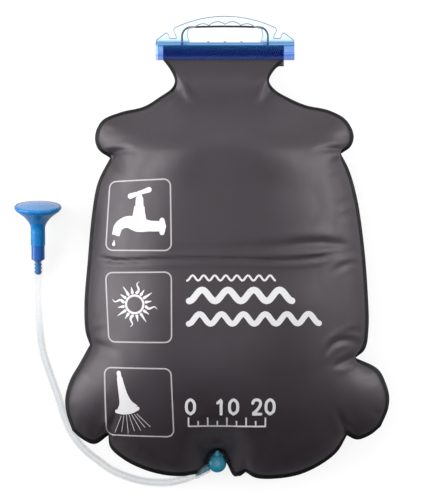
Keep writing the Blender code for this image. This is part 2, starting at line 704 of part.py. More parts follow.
def barb_profile():
    """The outer side of a hose barb from its root at height 0 down to its tip."""
    pitch = (BARB_LENGTH - 2 * GAP) / (BARB_RIDGES + 1)
    points = [(BARB_RADIUS, 0), (BARB_RADIUS, -pitch / 2)]
    for ridge in range(BARB_RIDGES):
        top = -pitch * (ridge + 0.5)
        points += [(BARB_RADIUS + BARB_RIDGE, top), (BARB_RADIUS, top - BARB_SLOPE_SHARE * pitch)]
    points.append((BARB_RADIUS, -BARB_LENGTH + GAP))
    return points


def outlet_spout(look):
    """A lens-shaped boat between the films, with a round spigot and its bore along Y."""
    widths = [(-1 + k / 4) for k in range(9)]
    rise_here = PORT_RISE - FILM_PITCH / 2 + GAP / 2 - FILM / 2
    top = [(BOAT_WIDTH / 2 * w, BOAT_EDGE + (rise_here - BOAT_EDGE) * (1 - w * w)) for w in widths]
    lens = [*top, *((x, -z) for x, z in reversed(top))]
    place = aimed((PORT_X, PORT_Y + BOAT_LENGTH / 2 + GAP, PORT_Z), (0, 1, 0))
    spout = prism("outlet_spout", lens, BOAT_LENGTH, place, look)
    length = HUB_DISTANCE - HUB_RADIUS + HUB_SOCKET + BOAT_LENGTH / 2 - WASHER - 2 * GAP
    start = Vector((PORT_X, PORT_Y + BOAT_LENGTH / 2, PORT_Z))
    spigot = cylinder("spigot", SPIGOT_RADIUS, length, aimed(start, (0, -1, 0)), FINE_STEPS)
    boolean(spout, spigot, "UNION")
    bore_place = aimed(start + Vector((0, BOAT_LENGTH, 0)), (0, -1, 0))
    boolean(spout, cylinder("spout_bore", OUTLET_BORE, length + 2 * BOAT_LENGTH, bore_place))
    shade(spout)
    return spout


def outlet_washer(look):
    """The soft washer between the spigot's end and the floor of the hub's socket."""
    floor = hub_place() + Vector((0, HUB_RADIUS - HUB_SOCKET + GAP, 0))
    profile = [(SPIGOT_RADIUS, WASHER), (SPIGOT_RADIUS, 0), (OUTLET_BORE, 0), (OUTLET_BORE, WASHER)]
    return turned("outlet_washer", profile, look, aimed(floor, (0, 1, 0)), COARSE_STEPS)


def hub_place():
    return Vector((PORT_X, PORT_Y - HUB_DISTANCE, PORT_Z))


def barb_direction():
    return Vector((math.cos(BARB_TURN), math.sin(BARB_TURN), 0))


def outlet_elbow(look):
    """A domed hub that turns the flow into a hose barb."""
    place = hub_place()
    half = HUB_HEIGHT / 2
    dome = [(0, half)]
    for step in range(1, DOME_STEPS + 1):
        angle = math.pi / 2 * (1 - step / DOME_STEPS)
        share = DOME_SIDE_SHARE + (1 - DOME_SIDE_SHARE) * math.sin(angle)
        dome.append((HUB_RADIUS * math.cos(angle), half * share))
    under = [(r, -z * UNDERSIDE_SHARE) for r, z in reversed(dome)]
    hub = turned("outlet_elbow", [*dome, *under], look, Matrix.Translation(place))
    inward = (0, 1, 0)
    boss_length = HUB_RADIUS + HUB_BOSS / 2
    boss = cylinder("hub_boss", SPIGOT_RADIUS + HUB_WALL, boss_length, aimed(place, inward), FINE_STEPS)
    boolean(hub, boss, "UNION")
    out = barb_direction()
    barb_start = place + out * HUB_RADIUS
    outer = barb_profile()
    profile = [(0, BARB_ROOT), (BARB_RADIUS, BARB_ROOT), *outer[1:], (0, -BARB_LENGTH + GAP)]
    barb = turned("elbow_barb", profile, None, aimed(barb_start, -out), COARSE_STEPS)
    boolean(hub, barb, "UNION")
    socket_top = place + Vector((0, HUB_RADIUS - HUB_SOCKET, 0))
    depth = HUB_SOCKET + HUB_BOSS + OVERRUN
    socket_place = aimed(socket_top, inward)
    boolean(hub, cylinder("hub_socket", SPIGOT_RADIUS + SPIGOT_PLAY, depth, socket_place, FINE_STEPS))
    bore_place = aimed(place - Vector((0, OUTLET_BORE, 0)), inward)
    boolean(hub, cylinder("hub_bore", OUTLET_BORE, HUB_RADIUS, bore_place))
    boolean(hub, cylinder("elbow_bore", BARB_BORE, HUB_RADIUS + BARB_LENGTH + OVERRUN, aimed(place, out)))
    return hub


def head_axis():
    """The shower head's frame: Z runs from the hose to the face."""
    direction = Vector((math.sin(HEAD_YAW), math.cos(HEAD_YAW), math.tan(HEAD_TILT))).normalized()
    return aimed(HEAD_PLACE, direction)


def hose(look):
    """The hose pushed over both barbs, along its route on the ground."""
    out = barb_direction()
    start = hub_place() + out * (HUB_RADIUS + GAP)
    into = head_axis().to_3x3() @ Vector((0, 0, 1))
    end = HEAD_PLACE - into * GAP
    grip = BARB_LENGTH + BARB_RADIUS
    along = [grip * share for share in (0, 0.5, 1.0, 1.25)]
    knots = [start + out * step for step in along] + HOSE_ROUTE + [end - into * step for step in along[::-1]]
    path = even(through(knots), HOSE_POINTS)
    length = float(np.linalg.norm(np.diff(path, axis=0), axis=1).sum())
    print(f"hose length {length * 1000:.1f} mm")
    station = np.linspace(0, length, len(path))
    from_end = np.minimum(station, length - station)
    swell = HOSE_STRETCH * (1 - smooth((from_end - BARB_LENGTH) / BARB_RADIUS))
    piece = tube("hose", path, HOSE_RADIUS + swell, HOSE_SIDES_RESOLUTION, look)
    longer = np.vstack([path[:1] - OVERRUN * np.array(out), path, path[-1:] + OVERRUN * np.array(into)])
    radii = (HOSE_BORE + np.concatenate([swell[:1], swell, swell[-1:]])) / math.cos(math.pi / 8)
    boolean(piece, tube("hose_core", longer, radii, 2))
    piece.data.shade_smooth()
    return piece


def valve_stem(look, axis):
    """The barbed stem that stays with the hose, with its piston and plug inside the head."""
    piston = COLLAR_FLOOR + VALVE_TRAVEL + GAP
    piston_end = piston + PISTON_LENGTH
    radius = VALVE_BORE - GAP
    groove = piston + (PISTON_LENGTH - 2 * RING_SECTION - 2 * GAP) / 2
    groove_end = groove + 2 * RING_SECTION + 2 * GAP
    floor = radius - 2 * RING_SECTION - GAP
    plug = VALVE_SEAT - GAP - SEAL_LENGTH - GAP - PLUG_LENGTH
    tip = plug + PLUG_LENGTH
    profile = [(0, tip + PLUG_TIP_LENGTH), (PLUG_TIP, tip + PLUG_TIP_LENGTH), (PLUG_TIP, tip),
               (PLUG_RADIUS, tip), (PLUG_RADIUS, plug), (BARB_RADIUS, plug), (BARB_RADIUS, piston_end),
               (radius, piston_end), (radius, groove_end), (floor, groove_end), (floor, groove),
               (radius, groove), (radius, piston), *barb_at(piston), (0, -BARB_LENGTH + GAP)]
    stem = turned("valve_stem", profile, look, steps=COARSE_STEPS)
    bore_place = Matrix.Translation((0, 0, -BARB_LENGTH - GAP))
    bore = cylinder("stem_bore", BARB_BORE, BARB_LENGTH + plug, bore_place)
    port_place = aimed((-VALVE_BORE, 0, (piston_end + plug) / 2), (1, 0, 0))
    side_port = cylinder("stem_cross_bore", CROSS_BORE, 2 * VALVE_BORE, port_place)
    for tool in (bore, side_port):
        boolean(stem, tool)
        tool.parent = axis
    stem.parent = axis
    ring_place = (groove + groove_end) / 2
    return ring_place, tip


def barb_at(top):
    """The barb's outer side, joined to a stem that ends at this height."""
    return [(BARB_RADIUS, top), *barb_profile()]


def ring(name, radius, section, height, look, axis):
    """A soft ring of round section about the head's axis."""
    profile = []
    for step in range(RING_SIDES):
        angle = -math.tau * step / RING_SIDES
        profile.append((radius + section * math.cos(angle), height + section * math.sin(angle)))
    made = turned(name, profile, look, steps=COARSE_STEPS)
    made.parent = axis
    return made


def shower_head(looks, axis):
    ring_height, tip = valve_stem(looks["outlet"], axis)
    ring("stem_o_ring", VALVE_BORE - GAP - RING_SECTION, RING_SECTION, ring_height, looks["rubber"], axis)

    seal_low, seal_high = tip + GAP, VALVE_SEAT - GAP
    pocket = PLUG_TIP + GAP
    pocket_top = tip + PLUG_TIP_LENGTH + GAP
    profile = [(0, seal_high), (PLUG_RADIUS, seal_high), (PLUG_RADIUS, seal_low), (pocket, seal_low),
               (pocket, pocket_top), (0, pocket_top)]
    seal = turned("valve_seal", profile, looks["rubber"], steps=COARSE_STEPS)
    seal.parent = axis

    hole = BARB_RADIUS + GAP
    cup = COLLAR_RADIUS - COLLAR_WALL
    profile = [(COLLAR_RADIUS, COLLAR_LENGTH), (COLLAR_RADIUS, COLLAR_CHAMFER),
               (COLLAR_RADIUS - COLLAR_CHAMFER, 0), (hole, 0), (hole, COLLAR_FLOOR),
               (cup, COLLAR_FLOOR), (cup, COLLAR_LENGTH)]
    collar = turned("valve_collar", profile, looks["collar"], steps=COLLAR_STEPS)
    collar.parent = axis

    neck_low = COLLAR_FLOOR + GAP
    barrel_low = COLLAR_LENGTH + GAP
    barrel_high = barrel_low + BARREL_LENGTH
    shoulder = barrel_high + SHOULDER_LENGTH
    flare = shoulder + FLARE_LENGTH
    disc = flare + DISC_LENGTH
    face = disc + RIM_LENGTH
    port_top = VALVE_SEAT + PORT_WALL
    plate_low = face - PLATE_INSET - PLATE_THICKNESS
    curve = [(SHOULDER_RADIUS, shoulder), (FLARE_RADIUS, flare), (RIM_RADIUS - HEAD_WALL, disc)]
    bell = even(through(curve), BELL_STEPS)[::-1]
    inside = [(r - HEAD_WALL, z + HEAD_WALL / 2) for r, z in bell[::-1]]
    neck = cup - GAP
    outer = [(RIM_RADIUS, face), (RIM_RADIUS, disc + HEAD_WALL / 2), *map(tuple, bell),
             (BARREL_RADIUS, barrel_high), (BARREL_RADIUS, barrel_low), (neck, barrel_low), (neck, neck_low)]
    valve = [(VALVE_BORE, neck_low), (VALVE_BORE, VALVE_SEAT), (VALVE_PORT, VALVE_SEAT),
             (VALVE_PORT, port_top), (BARREL_RADIUS - HEAD_WALL, port_top + HEAD_WALL)]
    seat = [(RIM_RADIUS - 2 * HEAD_WALL, plate_low - GAP), (RIM_RADIUS - HEAD_WALL, plate_low - GAP),
            (RIM_RADIUS - HEAD_WALL, face)]
    profile = [*outer, *valve, *inside, *seat]
    body = turned("shower_head_body", profile, looks["head"], steps=HEAD_STEPS)
    body.parent = axis

    plate_radius = RIM_RADIUS - HEAD_WALL - GAP
    top = face - PLATE_INSET
    shares = [k / PLATE_STEPS for k in range(PLATE_STEPS + 1)]
    dome = [(plate_radius * s, top + PLATE_CROWN * (1 - s**2)) for s in shares]
    under = [(r, z - PLATE_THICKNESS) for r, z in reversed(dome)]
    plate = turned("spray_plate", [*dome, *under], looks["head"], steps=HEAD_STEPS)
    jets = bmesh.new()
    for turn in range(JET_RINGS + 1):
        count = 6 * turn or 1
        for jet in range(count):
            angle = math.tau * jet / count
            out = JET_PITCH * turn
            spot = Matrix.Translation((out * math.cos(angle), out * math.sin(angle), top))
            bmesh.ops.create_cone(jets, cap_ends=True, segments=JET_SIDES, radius1=JET_RADIUS,
                                  radius2=JET_RADIUS, depth=2 * (PLATE_THICKNESS + PLATE_CROWN), matrix=spot)
    mesh = bpy.data.meshes.new("jets")
    jets.to_mesh(mesh)
    jets.free()
    cutter = add_mesh("jets", mesh)
    boolean(plate, cutter)
    for obj in (plate, cutter):
        obj.parent = axis


def empty(name, place):
    made = bpy.data.objects.new(name, None)
    made.empty_display_size = COLLAR_RADIUS
    PARTS.objects.link(made)
    made.matrix_world = place
    return made


clear_scene()
PARTS = new_collection("camp_shower_bag")
CUTTERS = new_collection("cutters")
LOOKS = {
    "film": material("black film", srgb(52, 50, 54), 0.42),
    "rail": material("blue rail", srgb(80, 130, 225), 0.3, transmission=0.4),
    "clear": material("clear plastic", srgb(222, 232, 243), 0.2, transmission=0.7),
    "wire": material("dark wire", srgb(70, 70, 76), 0.35, 0.9),
    "rod": material("fold rod", srgb(40, 40, 44), 0.5),
    "outlet": material("outlet blue", srgb(30, 110, 140), 0.35),
    "hose": material("clear hose", srgb(225, 232, 238), 0.2, transmission=0.7),
    "head": material("head blue", srgb(6, 118, 196), 0.3),
    "collar": material("collar blue", srgb(15, 72, 150), 0.35),
    "rubber": material("black rubber", srgb(30, 30, 30), 0.8),
}

panel("front_panel", 1, LOOKS["film"])
panel("back_panel", -1, LOOKS["film"])
fold_rod(LOOKS["rod"])
clamp_rail(LOOKS["rail"])
clear_hanger(LOOKS["clear"])
wire_bail(LOOKS["wire"])
outlet_spout(LOOKS["outlet"])
outlet_washer(LOOKS["rubber"])
outlet_elbow(LOOKS["outlet"])
hose(LOOKS["hose"])
HEAD_AXIS = empty("shower_head_axis", head_axis())
shower_head(LOOKS, HEAD_AXIS)
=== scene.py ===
import math
import random

import bmesh
import bpy
import numpy as np
from mathutils import Matrix, Vector
from mathutils.bvhtree import BVHTree


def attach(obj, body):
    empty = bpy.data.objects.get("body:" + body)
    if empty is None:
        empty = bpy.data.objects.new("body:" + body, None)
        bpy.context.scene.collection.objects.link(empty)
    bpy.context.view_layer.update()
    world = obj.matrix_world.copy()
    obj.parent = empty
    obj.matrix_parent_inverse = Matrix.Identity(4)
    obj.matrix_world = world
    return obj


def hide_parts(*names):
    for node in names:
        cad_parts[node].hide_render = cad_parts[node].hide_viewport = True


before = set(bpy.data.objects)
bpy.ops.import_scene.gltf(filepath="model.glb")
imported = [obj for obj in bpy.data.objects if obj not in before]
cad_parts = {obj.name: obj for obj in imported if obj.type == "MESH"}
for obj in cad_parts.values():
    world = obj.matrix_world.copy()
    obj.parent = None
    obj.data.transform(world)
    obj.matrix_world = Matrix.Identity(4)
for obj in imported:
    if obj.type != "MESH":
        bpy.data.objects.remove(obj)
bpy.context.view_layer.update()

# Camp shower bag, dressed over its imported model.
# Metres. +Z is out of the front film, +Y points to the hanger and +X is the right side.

# The photograph's frame: its size, the metres in one of its pixels and the pixel at the origin
PHOTO_WIDTH = 435
PHOTO_HEIGHT = 500
PIXEL = 0.00129
ORIGIN_PIXEL = (225, 280)
CAMERA_DISTANCE = 3.0
CAMERA_REACH = 50
SENSOR = 36

# The bag's driving sizes, as the model has them
BAG_WIDTH = 0.420
BAG_LENGTH = 0.541
MOUTH_Y = 0.2838
FILM = 0.0006
GAP = 0.0003
SEAM_WIDTH = 0.0038
SEAM_HEIGHT = 0.045
SEAM_DROOP = 0.009
DROOP_START = 0.090
CROWN = 0.084
BACK_DEPTH = 0.078
BOTTOM_REACH = 0.170
NECK_REACH = 0.136
TAIL_LENGTH = 0.010
TAIL_SLANT = 0.0100
TAIL_LEAST_SHARE = 0.04
TAIL_STEP_SHARE = 0.2
TAIL_STEP = 0.010
TAIL_STEP_FADE = 0.004
TAIL_SHARES = (0.25, 0.5, 0.75, 1.0)

# How full the films look, how finely they are cut and how uneven they are
SWELL_POWER = 0.62
FULL_MIDDLE = 0.065
FULL_HALF = 0.045
FULL_FADE = 0.060
FRONT_FINE = 10
BACK_FINE = 6
FRONT_SEED = 11
BACK_SEED = 23
LOOSE_START = 0.006
LOOSE_FADE = 0.03
WAVE_COUNT = 26
WAVE_SIZE = 0.00022
WAVE_LENGTHS = (0.060, 0.14)
WAVE_FADE_SHARE = 0.25
PUCKERS = 60
PUCKER_TURN = 0.5
PUCKER_REACH = (0.010, 0.030)
PUCKER_DEPTH = (0.0002, 0.0008)
PUCKER_WIDTH = (0.0030, 0.0060)
PUCKER_FADE_SHARE = 0.12

# Rod, rail and hanger
ROD_RADIUS = 0.0025
RAIL_HEIGHT = 0.0226
RAIL_WALL = 0.0020
RAIL_WEB = 0.0032
RAIL_MARGIN = 0.0008
RAIL_PAST_LEFT = 0.0097
RAIL_PAST_RIGHT = 0.0135
HANGER_PLATE = 0.0030
HANGER_SETBACK = 0.0005
HANGER_RISE = 0.0335
HANGER_FILLET = 0.0016
HANGER_BLUE = 0.014
HANGER_POST = 0.0160
CROWN_DROP = 0.0150
CROWN_STEPS = 20
HOOK_SPAN = 0.0240
HOOK_HEIGHT = 0.0126
HOOK_LIP = 0.0030
HOOK_SETBACK = 0.0132
FOOT_EDGE = 0.0024
NOTCH_FLOOR = 0.0050
NOTCH_UNDERCUT = 0.0024
NOTCH_WIDTH = 0.0092
OPENING_LEAN = 0.0030
FINGERS = 4
FINGER_MARGIN = 0.0078
FINGER_TOP = 0.0270
FINGER_DEPTH = 0.0038
SCALLOP_STEPS = 12
RIM_BEAD = 0.0006
RIM_BEAD_SHARE = 0.4

# Bail
BAIL_WIRE = 0.0013
BAIL_MARGIN = 0.0065
BAIL_RISE = 0.0250
BAIL_BEND = 0.0120
BAIL_BOW = 0.0014
BAIL_FOOT = 0.0080
BAIL_FOOT_BEND = 0.0018
BAIL_BAR_SHARES = (-0.5, -0.25, 0, 0.25, 0.5)
BAIL_BELOW_TOP = 0.0048
BAIL_BEHIND = 0.0022
BEND_STEPS = 12

# Outlet and hose
PORT_SHARES = (-0.024, 0.063)
PORT_Z = 0.020
PORT_DIP_WIDTH = 0.040
PORT_DIP_REACH = 0.044
PORT_WIDTH = 0.0200
PORT_RISE = 0.0062
BOAT_LENGTH = 0.0100
SPIGOT_RADIUS = 0.0046
HUB_DISTANCE = 0.0152
HUB_RADIUS = 0.0120
HUB_HEIGHT = 0.0190
HUB_WALL = 0.0024
HUB_BOSS = 0.0026
HUB_EDGE_SHARE = 0.45
BARB_TURN = math.radians(207)
BARB_LENGTH = 0.0200
BARB_RADIUS = 0.0034
BARB_CREST = 0.0050
BARB_COUNT = 4
BARB_FOOT = 0.0003
BARB_CREST_SHARES = (0.66, 0.80, 0.86)
BARB_DEPTH = 0.0004
BARB_SIDES = 48
HOSE_RADIUS = 0.0050
HOSE_BORE = 0.0035
HOSE_STRETCH = 0.0016
HOSE_RINGS = 170
HOSE_SIDES = 28
GRIP_SHARES = (0, 0.5, 1.0, 1.25)

# Shower head
HEAD_PLACE = Vector((-0.2436, 0.0265, 0.0128))
HEAD_TILT = math.radians(14)
HEAD_YAW = math.radians(0.8)
HEAD_WALL = 0.0020
HEAD_SIDES = 96
COLLAR_RADIUS = 0.00875
COLLAR_LENGTH = 0.0192
COLLAR_FLOOR = 0.0030
COLLAR_WALL = 0.0012
VALVE_BORE = 0.0058
VALVE_SEAT = 0.0300
VALVE_PORT = 0.0030
PORT_WALL = 0.0030
BARREL_RADIUS = 0.0094
BARREL_LENGTH = 0.0138
SHOULDER_RADIUS = 0.0101
SHOULDER_LENGTH = 0.0125
FLARE_RADIUS = 0.0168
FLARE_LENGTH = 0.0101
BELL_STEPS = 40
DISC_LENGTH = 0.0098
RIM_RADIUS = 0.0306
RIM_LENGTH = 0.0062
RIM_ROUND = 0.0024
RIM_STEPS = 5
PLATE_THICKNESS = 0.0018
PLATE_INSET = 0.0004
FACE_CROWN = 0.0044
FACE_STEPS = 16
JET_RADIUS = 0.0005
JET_RINGS = 3
JET_PITCH = 0.0072
JETS_IN_FIRST_RING = 6
SHARP_ANGLE = math.radians(38)

# Ink
INK_LIFT = 0.00010
INK_LAYER = 0.000003
INK_THICKNESS = 0.00008
INK_STEP = 0.0020

# Outline of the bag, as shares of its width from the middle and of its length from the bottom
LEFT_LOBE = [(-0.470, 0.116), (-0.488, 0.159), (-0.491, 0.194), (-0.476, 0.237),
             (-0.448, 0.275), (-0.415, 0.321)]
LEFT_SIDE = [(-0.415, 0.321), (-0.428, 0.352), (-0.432, 0.414), (-0.422, 0.518),
             (-0.407, 0.642), (-0.390, 0.709), (-0.353, 0.766)]
LEFT_SHOULDER = [(-0.353, 0.766), (-0.390, 0.788), (-0.399, 0.819), (-0.378, 0.855),
                 (-0.322, 0.875), (-0.249, 0.889), (-0.200, 0.912), (-0.163, 0.933),
                 (-0.154, 0.950), (-0.166, 0.974), (-0.190, 1.000)]
RIGHT_LOBE = [(0.479, 0.125), (0.501, 0.166), (0.505, 0.197), (0.494, 0.230),
              (0.470, 0.263), (0.401, 0.290)]
RIGHT_SIDE = [(0.401, 0.290), (0.430, 0.311), (0.441, 0.361), (0.438, 0.452),
              (0.425, 0.571), (0.405, 0.673), (0.381, 0.738), (0.356, 0.776)]
RIGHT_SHOULDER = [(0.356, 0.776), (0.387, 0.795), (0.395, 0.821), (0.372, 0.857),
                  (0.319, 0.880), (0.249, 0.892), (0.197, 0.909), (0.154, 0.929),
                  (0.135, 0.950), (0.147, 0.971), (0.181, 1.000)]
LEFT_HEM = [(-0.470, 0.116), (-0.445, 0.098), (-0.402, 0.083), (-0.359, 0.104)]
LEFT_BOTTOM = [(-0.359, 0.104), (-0.353, 0.075), (-0.310, 0.045), (-0.243, 0.020),
               (-0.169, 0.007), (-0.107, 0.008)]
RIGHT_HEM = [(0.064, 0.015), (0.095, 0.002), (0.154, 0.000), (0.230, 0.010),
             (0.298, 0.035), (0.347, 0.066), (0.375, 0.104)]
RIGHT_CORNER = [(0.375, 0.104), (0.405, 0.094), (0.445, 0.104), (0.479, 0.125)]
FRONT_NOTCH = [(-0.077, 0.012), (-0.062, 0.022), (-0.053, 0.032), (-0.0485, 0.043),
               (-0.037, 0.058), (-0.023, 0.066), (-0.009, 0.058), (-0.001, 0.045),
               (0.007, 0.033), (0.014, 0.021), (0.023, 0.008), (0.032, 0.003), (0.064, 0.015)]
BACK_NOTCH = [(-0.072, 0.022), (-0.058, 0.044), (-0.046, 0.062), (-0.024, 0.064), (-0.002, 0.062),
              (0.010, 0.042), (0.022, 0.015), (0.043, 0.004), (0.064, 0.015)]

# Half the bag's width without its notches, as shares of its length and of its width
PLAIN_HALF_SHARES = [(0.00, 0.440), (0.10, 0.462), (0.20, 0.466), (0.32, 0.446), (0.45, 0.432),
                     (0.60, 0.415), (0.72, 0.396), (0.80, 0.376), (0.86, 0.318), (0.90, 0.232),
                     (0.94, 0.160), (1.00, 0.172)]

# Free route of the hose, from the outlet to the shower head
HOSE_ROUTE = [
    (-0.0690, -0.2640, 0.0098), (-0.0900, -0.2650, 0.0060), (-0.1150, -0.2615, 0.0051),
    (-0.1480, -0.2490, 0.0051), (-0.1655, -0.2365, 0.0051), (-0.1830, -0.2225, 0.0051),
    (-0.1990, -0.2025, 0.0051), (-0.2095, -0.1800, 0.0051), (-0.2180, -0.1530, 0.0051),
    (-0.2290, -0.1220, 0.0051), (-0.2385, -0.0910, 0.0051), (-0.2425, -0.0560, 0.0053),
    (-0.2440, -0.0250, 0.0056),
]

# Sizes that follow from the ones above
BAG_BOTTOM = MOUTH_Y - BAG_LENGTH
FILM_PITCH = FILM + GAP
FOLD_RADIUS = ROD_RADIUS + GAP + FILM / 2
CAVITY = FOLD_RADIUS + FILM_PITCH + FILM / 2 + GAP
RAIL_Z = SEAM_HEIGHT - FILM_PITCH
RAIL_TOP = MOUTH_Y + RAIL_HEIGHT
ROD_Y = RAIL_TOP - RAIL_WEB - CAVITY
LIP_TOP = ROD_Y - CAVITY - RAIL_MARGIN
RAIL_LEFT = LEFT_SHOULDER[-1][0] * BAG_WIDTH - RAIL_PAST_LEFT
RAIL_RIGHT = RIGHT_SHOULDER[-1][0] * BAG_WIDTH + RAIL_PAST_RIGHT
RAIL_X = (RAIL_LEFT + RAIL_RIGHT) / 2
HANGER_HALF = (RAIL_RIGHT - RAIL_LEFT) / 2 - HANGER_SETBACK
CROWN_HALF = HANGER_HALF - HOOK_SPAN
OPENING_HALF = CROWN_HALF - HANGER_POST
BAIL_HALF = OPENING_HALF + BAIL_MARGIN
BAIL_Y = RAIL_TOP - BAIL_BELOW_TOP
BAIL_Z = RAIL_Z - CAVITY - RAIL_WALL - BAIL_BEHIND
PORT_X = PORT_SHARES[0] * BAG_WIDTH
PORT_Y = BAG_BOTTOM + PORT_SHARES[1] * BAG_LENGTH


def at(px, py):
    """The place in the frame of a pixel of the photograph."""
    return (px - ORIGIN_PIXEL[0]) * PIXEL, (ORIGIN_PIXEL[1] - py) * PIXEL


def smooth(share):
    share = np.clip(share, 0, 1)
    return share * share * (3 - 2 * share)


def through(knots, per_span=12):
    """Points on a smooth curve through the knots, whose ease at each knot follows its distances."""
    knots = np.asarray(knots, float)
    times = np.concatenate([[0], np.cumsum(np.sqrt(np.linalg.norm(np.diff(knots, axis=0), axis=1)))])
    slopes = np.gradient(knots, times, axis=0)
    found = []
    for a, b, slope_a, slope_b, span in zip(knots, knots[1:], slopes, slopes[1:], np.diff(times)):
        t = np.linspace(0, 1, per_span, endpoint=False)[:, None]
        found.append((2 * t**3 - 3 * t**2 + 1) * a + (3 * t**2 - 2 * t**3) * b
                     + (t**3 - 2 * t**2 + t) * span * slope_a + (t**3 - t**2) * span * slope_b)
    return np.vstack([*found, knots[-1:]])


def even(points, segments):
    """The same path with points at equal steps."""
    points = np.asarray(points, float)
    lengths = np.concatenate([[0], np.cumsum(np.linalg.norm(np.diff(points, axis=0), axis=1))])
    stations = np.linspace(0, lengths[-1], segments + 1)
    return np.stack([np.interp(stations, lengths, points[:, k]) for k in range(points.shape[1])], axis=1)


def aimed(origin, direction):
    """A placement whose Z points along the direction."""
    return Matrix.Translation(origin) @ Vector(direction).to_track_quat("Z", "Y").to_matrix().to_4x4()


def circle(x, y, radius, steps=40):
    """Places round a centre, from its right and the way Y turns from X."""
    return [(x + radius * math.cos(math.tau * k / steps), y + radius * math.sin(math.tau * k / steps))
            for k in range(steps)]


def rounded(corners, radius, steps):
    """An outline with each corner given as (x, y) or (x, y, own radius) turned into an arc."""
    made = []
    for index, corner in enumerate(corners):
        here = Vector(corner[:2])
        before = Vector(corners[index - 1][:2]) - here
        after = Vector(corners[(index + 1) % len(corners)][:2]) - here
        wanted = corner[2] if len(corner) > 2 else radius
        half = before.angle(after) / 2
        reach = min(wanted / math.tan(half), 0.45 * min(before.length, after.length))
        if reach <= 0 or math.pi / 2 - half < math.radians(4):
            made.append(tuple(here))
            continue
        start, end = here + before.normalized() * reach, here + after.normalized() * reach
        centre = here + (before.normalized() + after.normalized()).normalized() * reach / math.cos(half)
        first, turn = start - centre, (start - centre).angle_signed(end - centre)
        for step in range(steps + 1):
            angle = -turn * step / steps
            made.append((centre.x + first.x * math.cos(angle) - first.y * math.sin(angle),
                         centre.y + first.x * math.sin(angle) + first.y * math.cos(angle)))
    return made


def quads(rows, closed=False):
    """The faces between rows of vertex numbers that are all as long. Closed rows are rings."""
    faces = []
    for low, high in zip(rows, rows[1:]):
        if closed:
            low, high = [*low, low[0]], [*high, high[0]]
        faces += [(low[k], low[k + 1], high[k + 1], high[k]) for k in range(len(low) - 1)]
    return faces


def mesh_of(name, vertices, faces):
    mesh = bpy.data.meshes.new(name)
    mesh.from_pydata([tuple(map(float, v)) for v in vertices], [], faces)
    mesh.update()
    return mesh


def placed(name, data):
    """An object in the scene for a mesh, a curve, a lamp or a camera."""
    obj = bpy.data.objects.new(name, data)
    bpy.context.scene.collection.objects.link(obj)
    return obj


def add(name, mesh, *materials):
    for made in materials:
        mesh.materials.append(made)
    return placed(name, mesh)


def thickened(obj, thickness):
    solid = obj.modifiers.new("thickness", "SOLIDIFY")
    solid.thickness = thickness
    solid.offset = 0


def join(piece, body, replaced=None):
    """Lets the piece ride on a body, in the place of a node if there is one."""
    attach(piece, body)
    if replaced:
        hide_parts(replaced)


# Materials

def feed(tree, socket, value):
    """Gives a socket a value, or links it to another node's output."""
    if isinstance(value, bpy.types.NodeSocket):
        tree.links.new(value, socket)
    else:
        socket.default_value = value


def node(tree, kind, inputs):
    """A shader node with its inputs, by name or by number."""
    made = tree.nodes.new("ShaderNode" + kind)
    for key, value in inputs.items():
        feed(tree, made.inputs[key], value)
    return made


def reckoned(tree, operation, *values):
    """The result of an operation on numbers from nodes."""
    made = node(tree, "Math", {})
    made.operation = operation
    for socket, value in zip(made.inputs, values):
        feed(tree, socket, value)
    return made.outputs[0]


def own_place(tree):
    """The object's own metres."""
    return node(tree, "TexCoord", {}).outputs["Object"]


def own_y(tree):
    return node(tree, "SeparateXYZ", {0: own_place(tree)}).outputs["Y"]


def drive(made, socket, value):
    """Gives one of the shader's sockets a value or another node's output."""
    feed(made.node_tree, made.node_tree.nodes["Principled BSDF"].inputs[socket], value)


def look(name, colour, roughness, **sockets):
    made = bpy.data.materials.new(name)
    made.use_nodes = True
    made.diffuse_color = (*colour, 1)
    drive(made, "Base Color", (*colour, 1))
    drive(made, "Roughness", roughness)
    for socket, value in sockets.items():
        drive(made, socket.replace("_", " "), value)
    return made


def noise(made, scale, detail, stretch=(1, 1, 1)):
    """A noise pattern in the object's own metres. Scale is in cells to the metre."""
    tree = made.node_tree
    mapped = node(tree, "Mapping", {"Vector": own_place(tree), "Scale": stretch}).outputs["Vector"]
    return node(tree, "TexNoise", {"Vector": mapped, "Scale": scale, "Detail": detail}).outputs["Fac"]


def relief(made, height, depth):
    """Adds a height pattern to the material's bump."""
    tree = made.node_tree
    bump = node(tree, "Bump", {"Distance": depth, "Height": height})
    for link in tree.nodes["Principled BSDF"].inputs["Normal"].links:
        feed(tree, bump.inputs["Normal"], link.from_socket)
    drive(made, "Normal", bump.outputs["Normal"])


def spread(tree, pattern, low, high, start=0.35, end=0.65, ease="SMOOTHSTEP"):
    """A pattern turned into a number between low and high."""
    ends = {"Value": pattern, "From Min": start, "From Max": end, "To Min": low, "To Max": high}
    ranged = node(tree, "MapRange", ends)
    ranged.interpolation_type = ease
    return ranged.outputs["Result"]


def vary(made, pattern, low, high):
    """Lets the roughness follow a pattern."""
    drive(made, "Roughness", spread(made.node_tree, pattern, low, high))


def tint(made, pattern, first, second):
    """Lets the colour follow a pattern."""
    tree = made.node_tree
    mix = node(tree, "Mix", {})
    mix.data_type = "RGBA"
    for socket, value in (("Factor", spread(tree, pattern, 0, 1)), ("A", (*first, 1)), ("B", (*second, 1))):
        feed(tree, mix.inputs[socket], value)
    drive(made, "Base Color", mix.outputs["Result"])


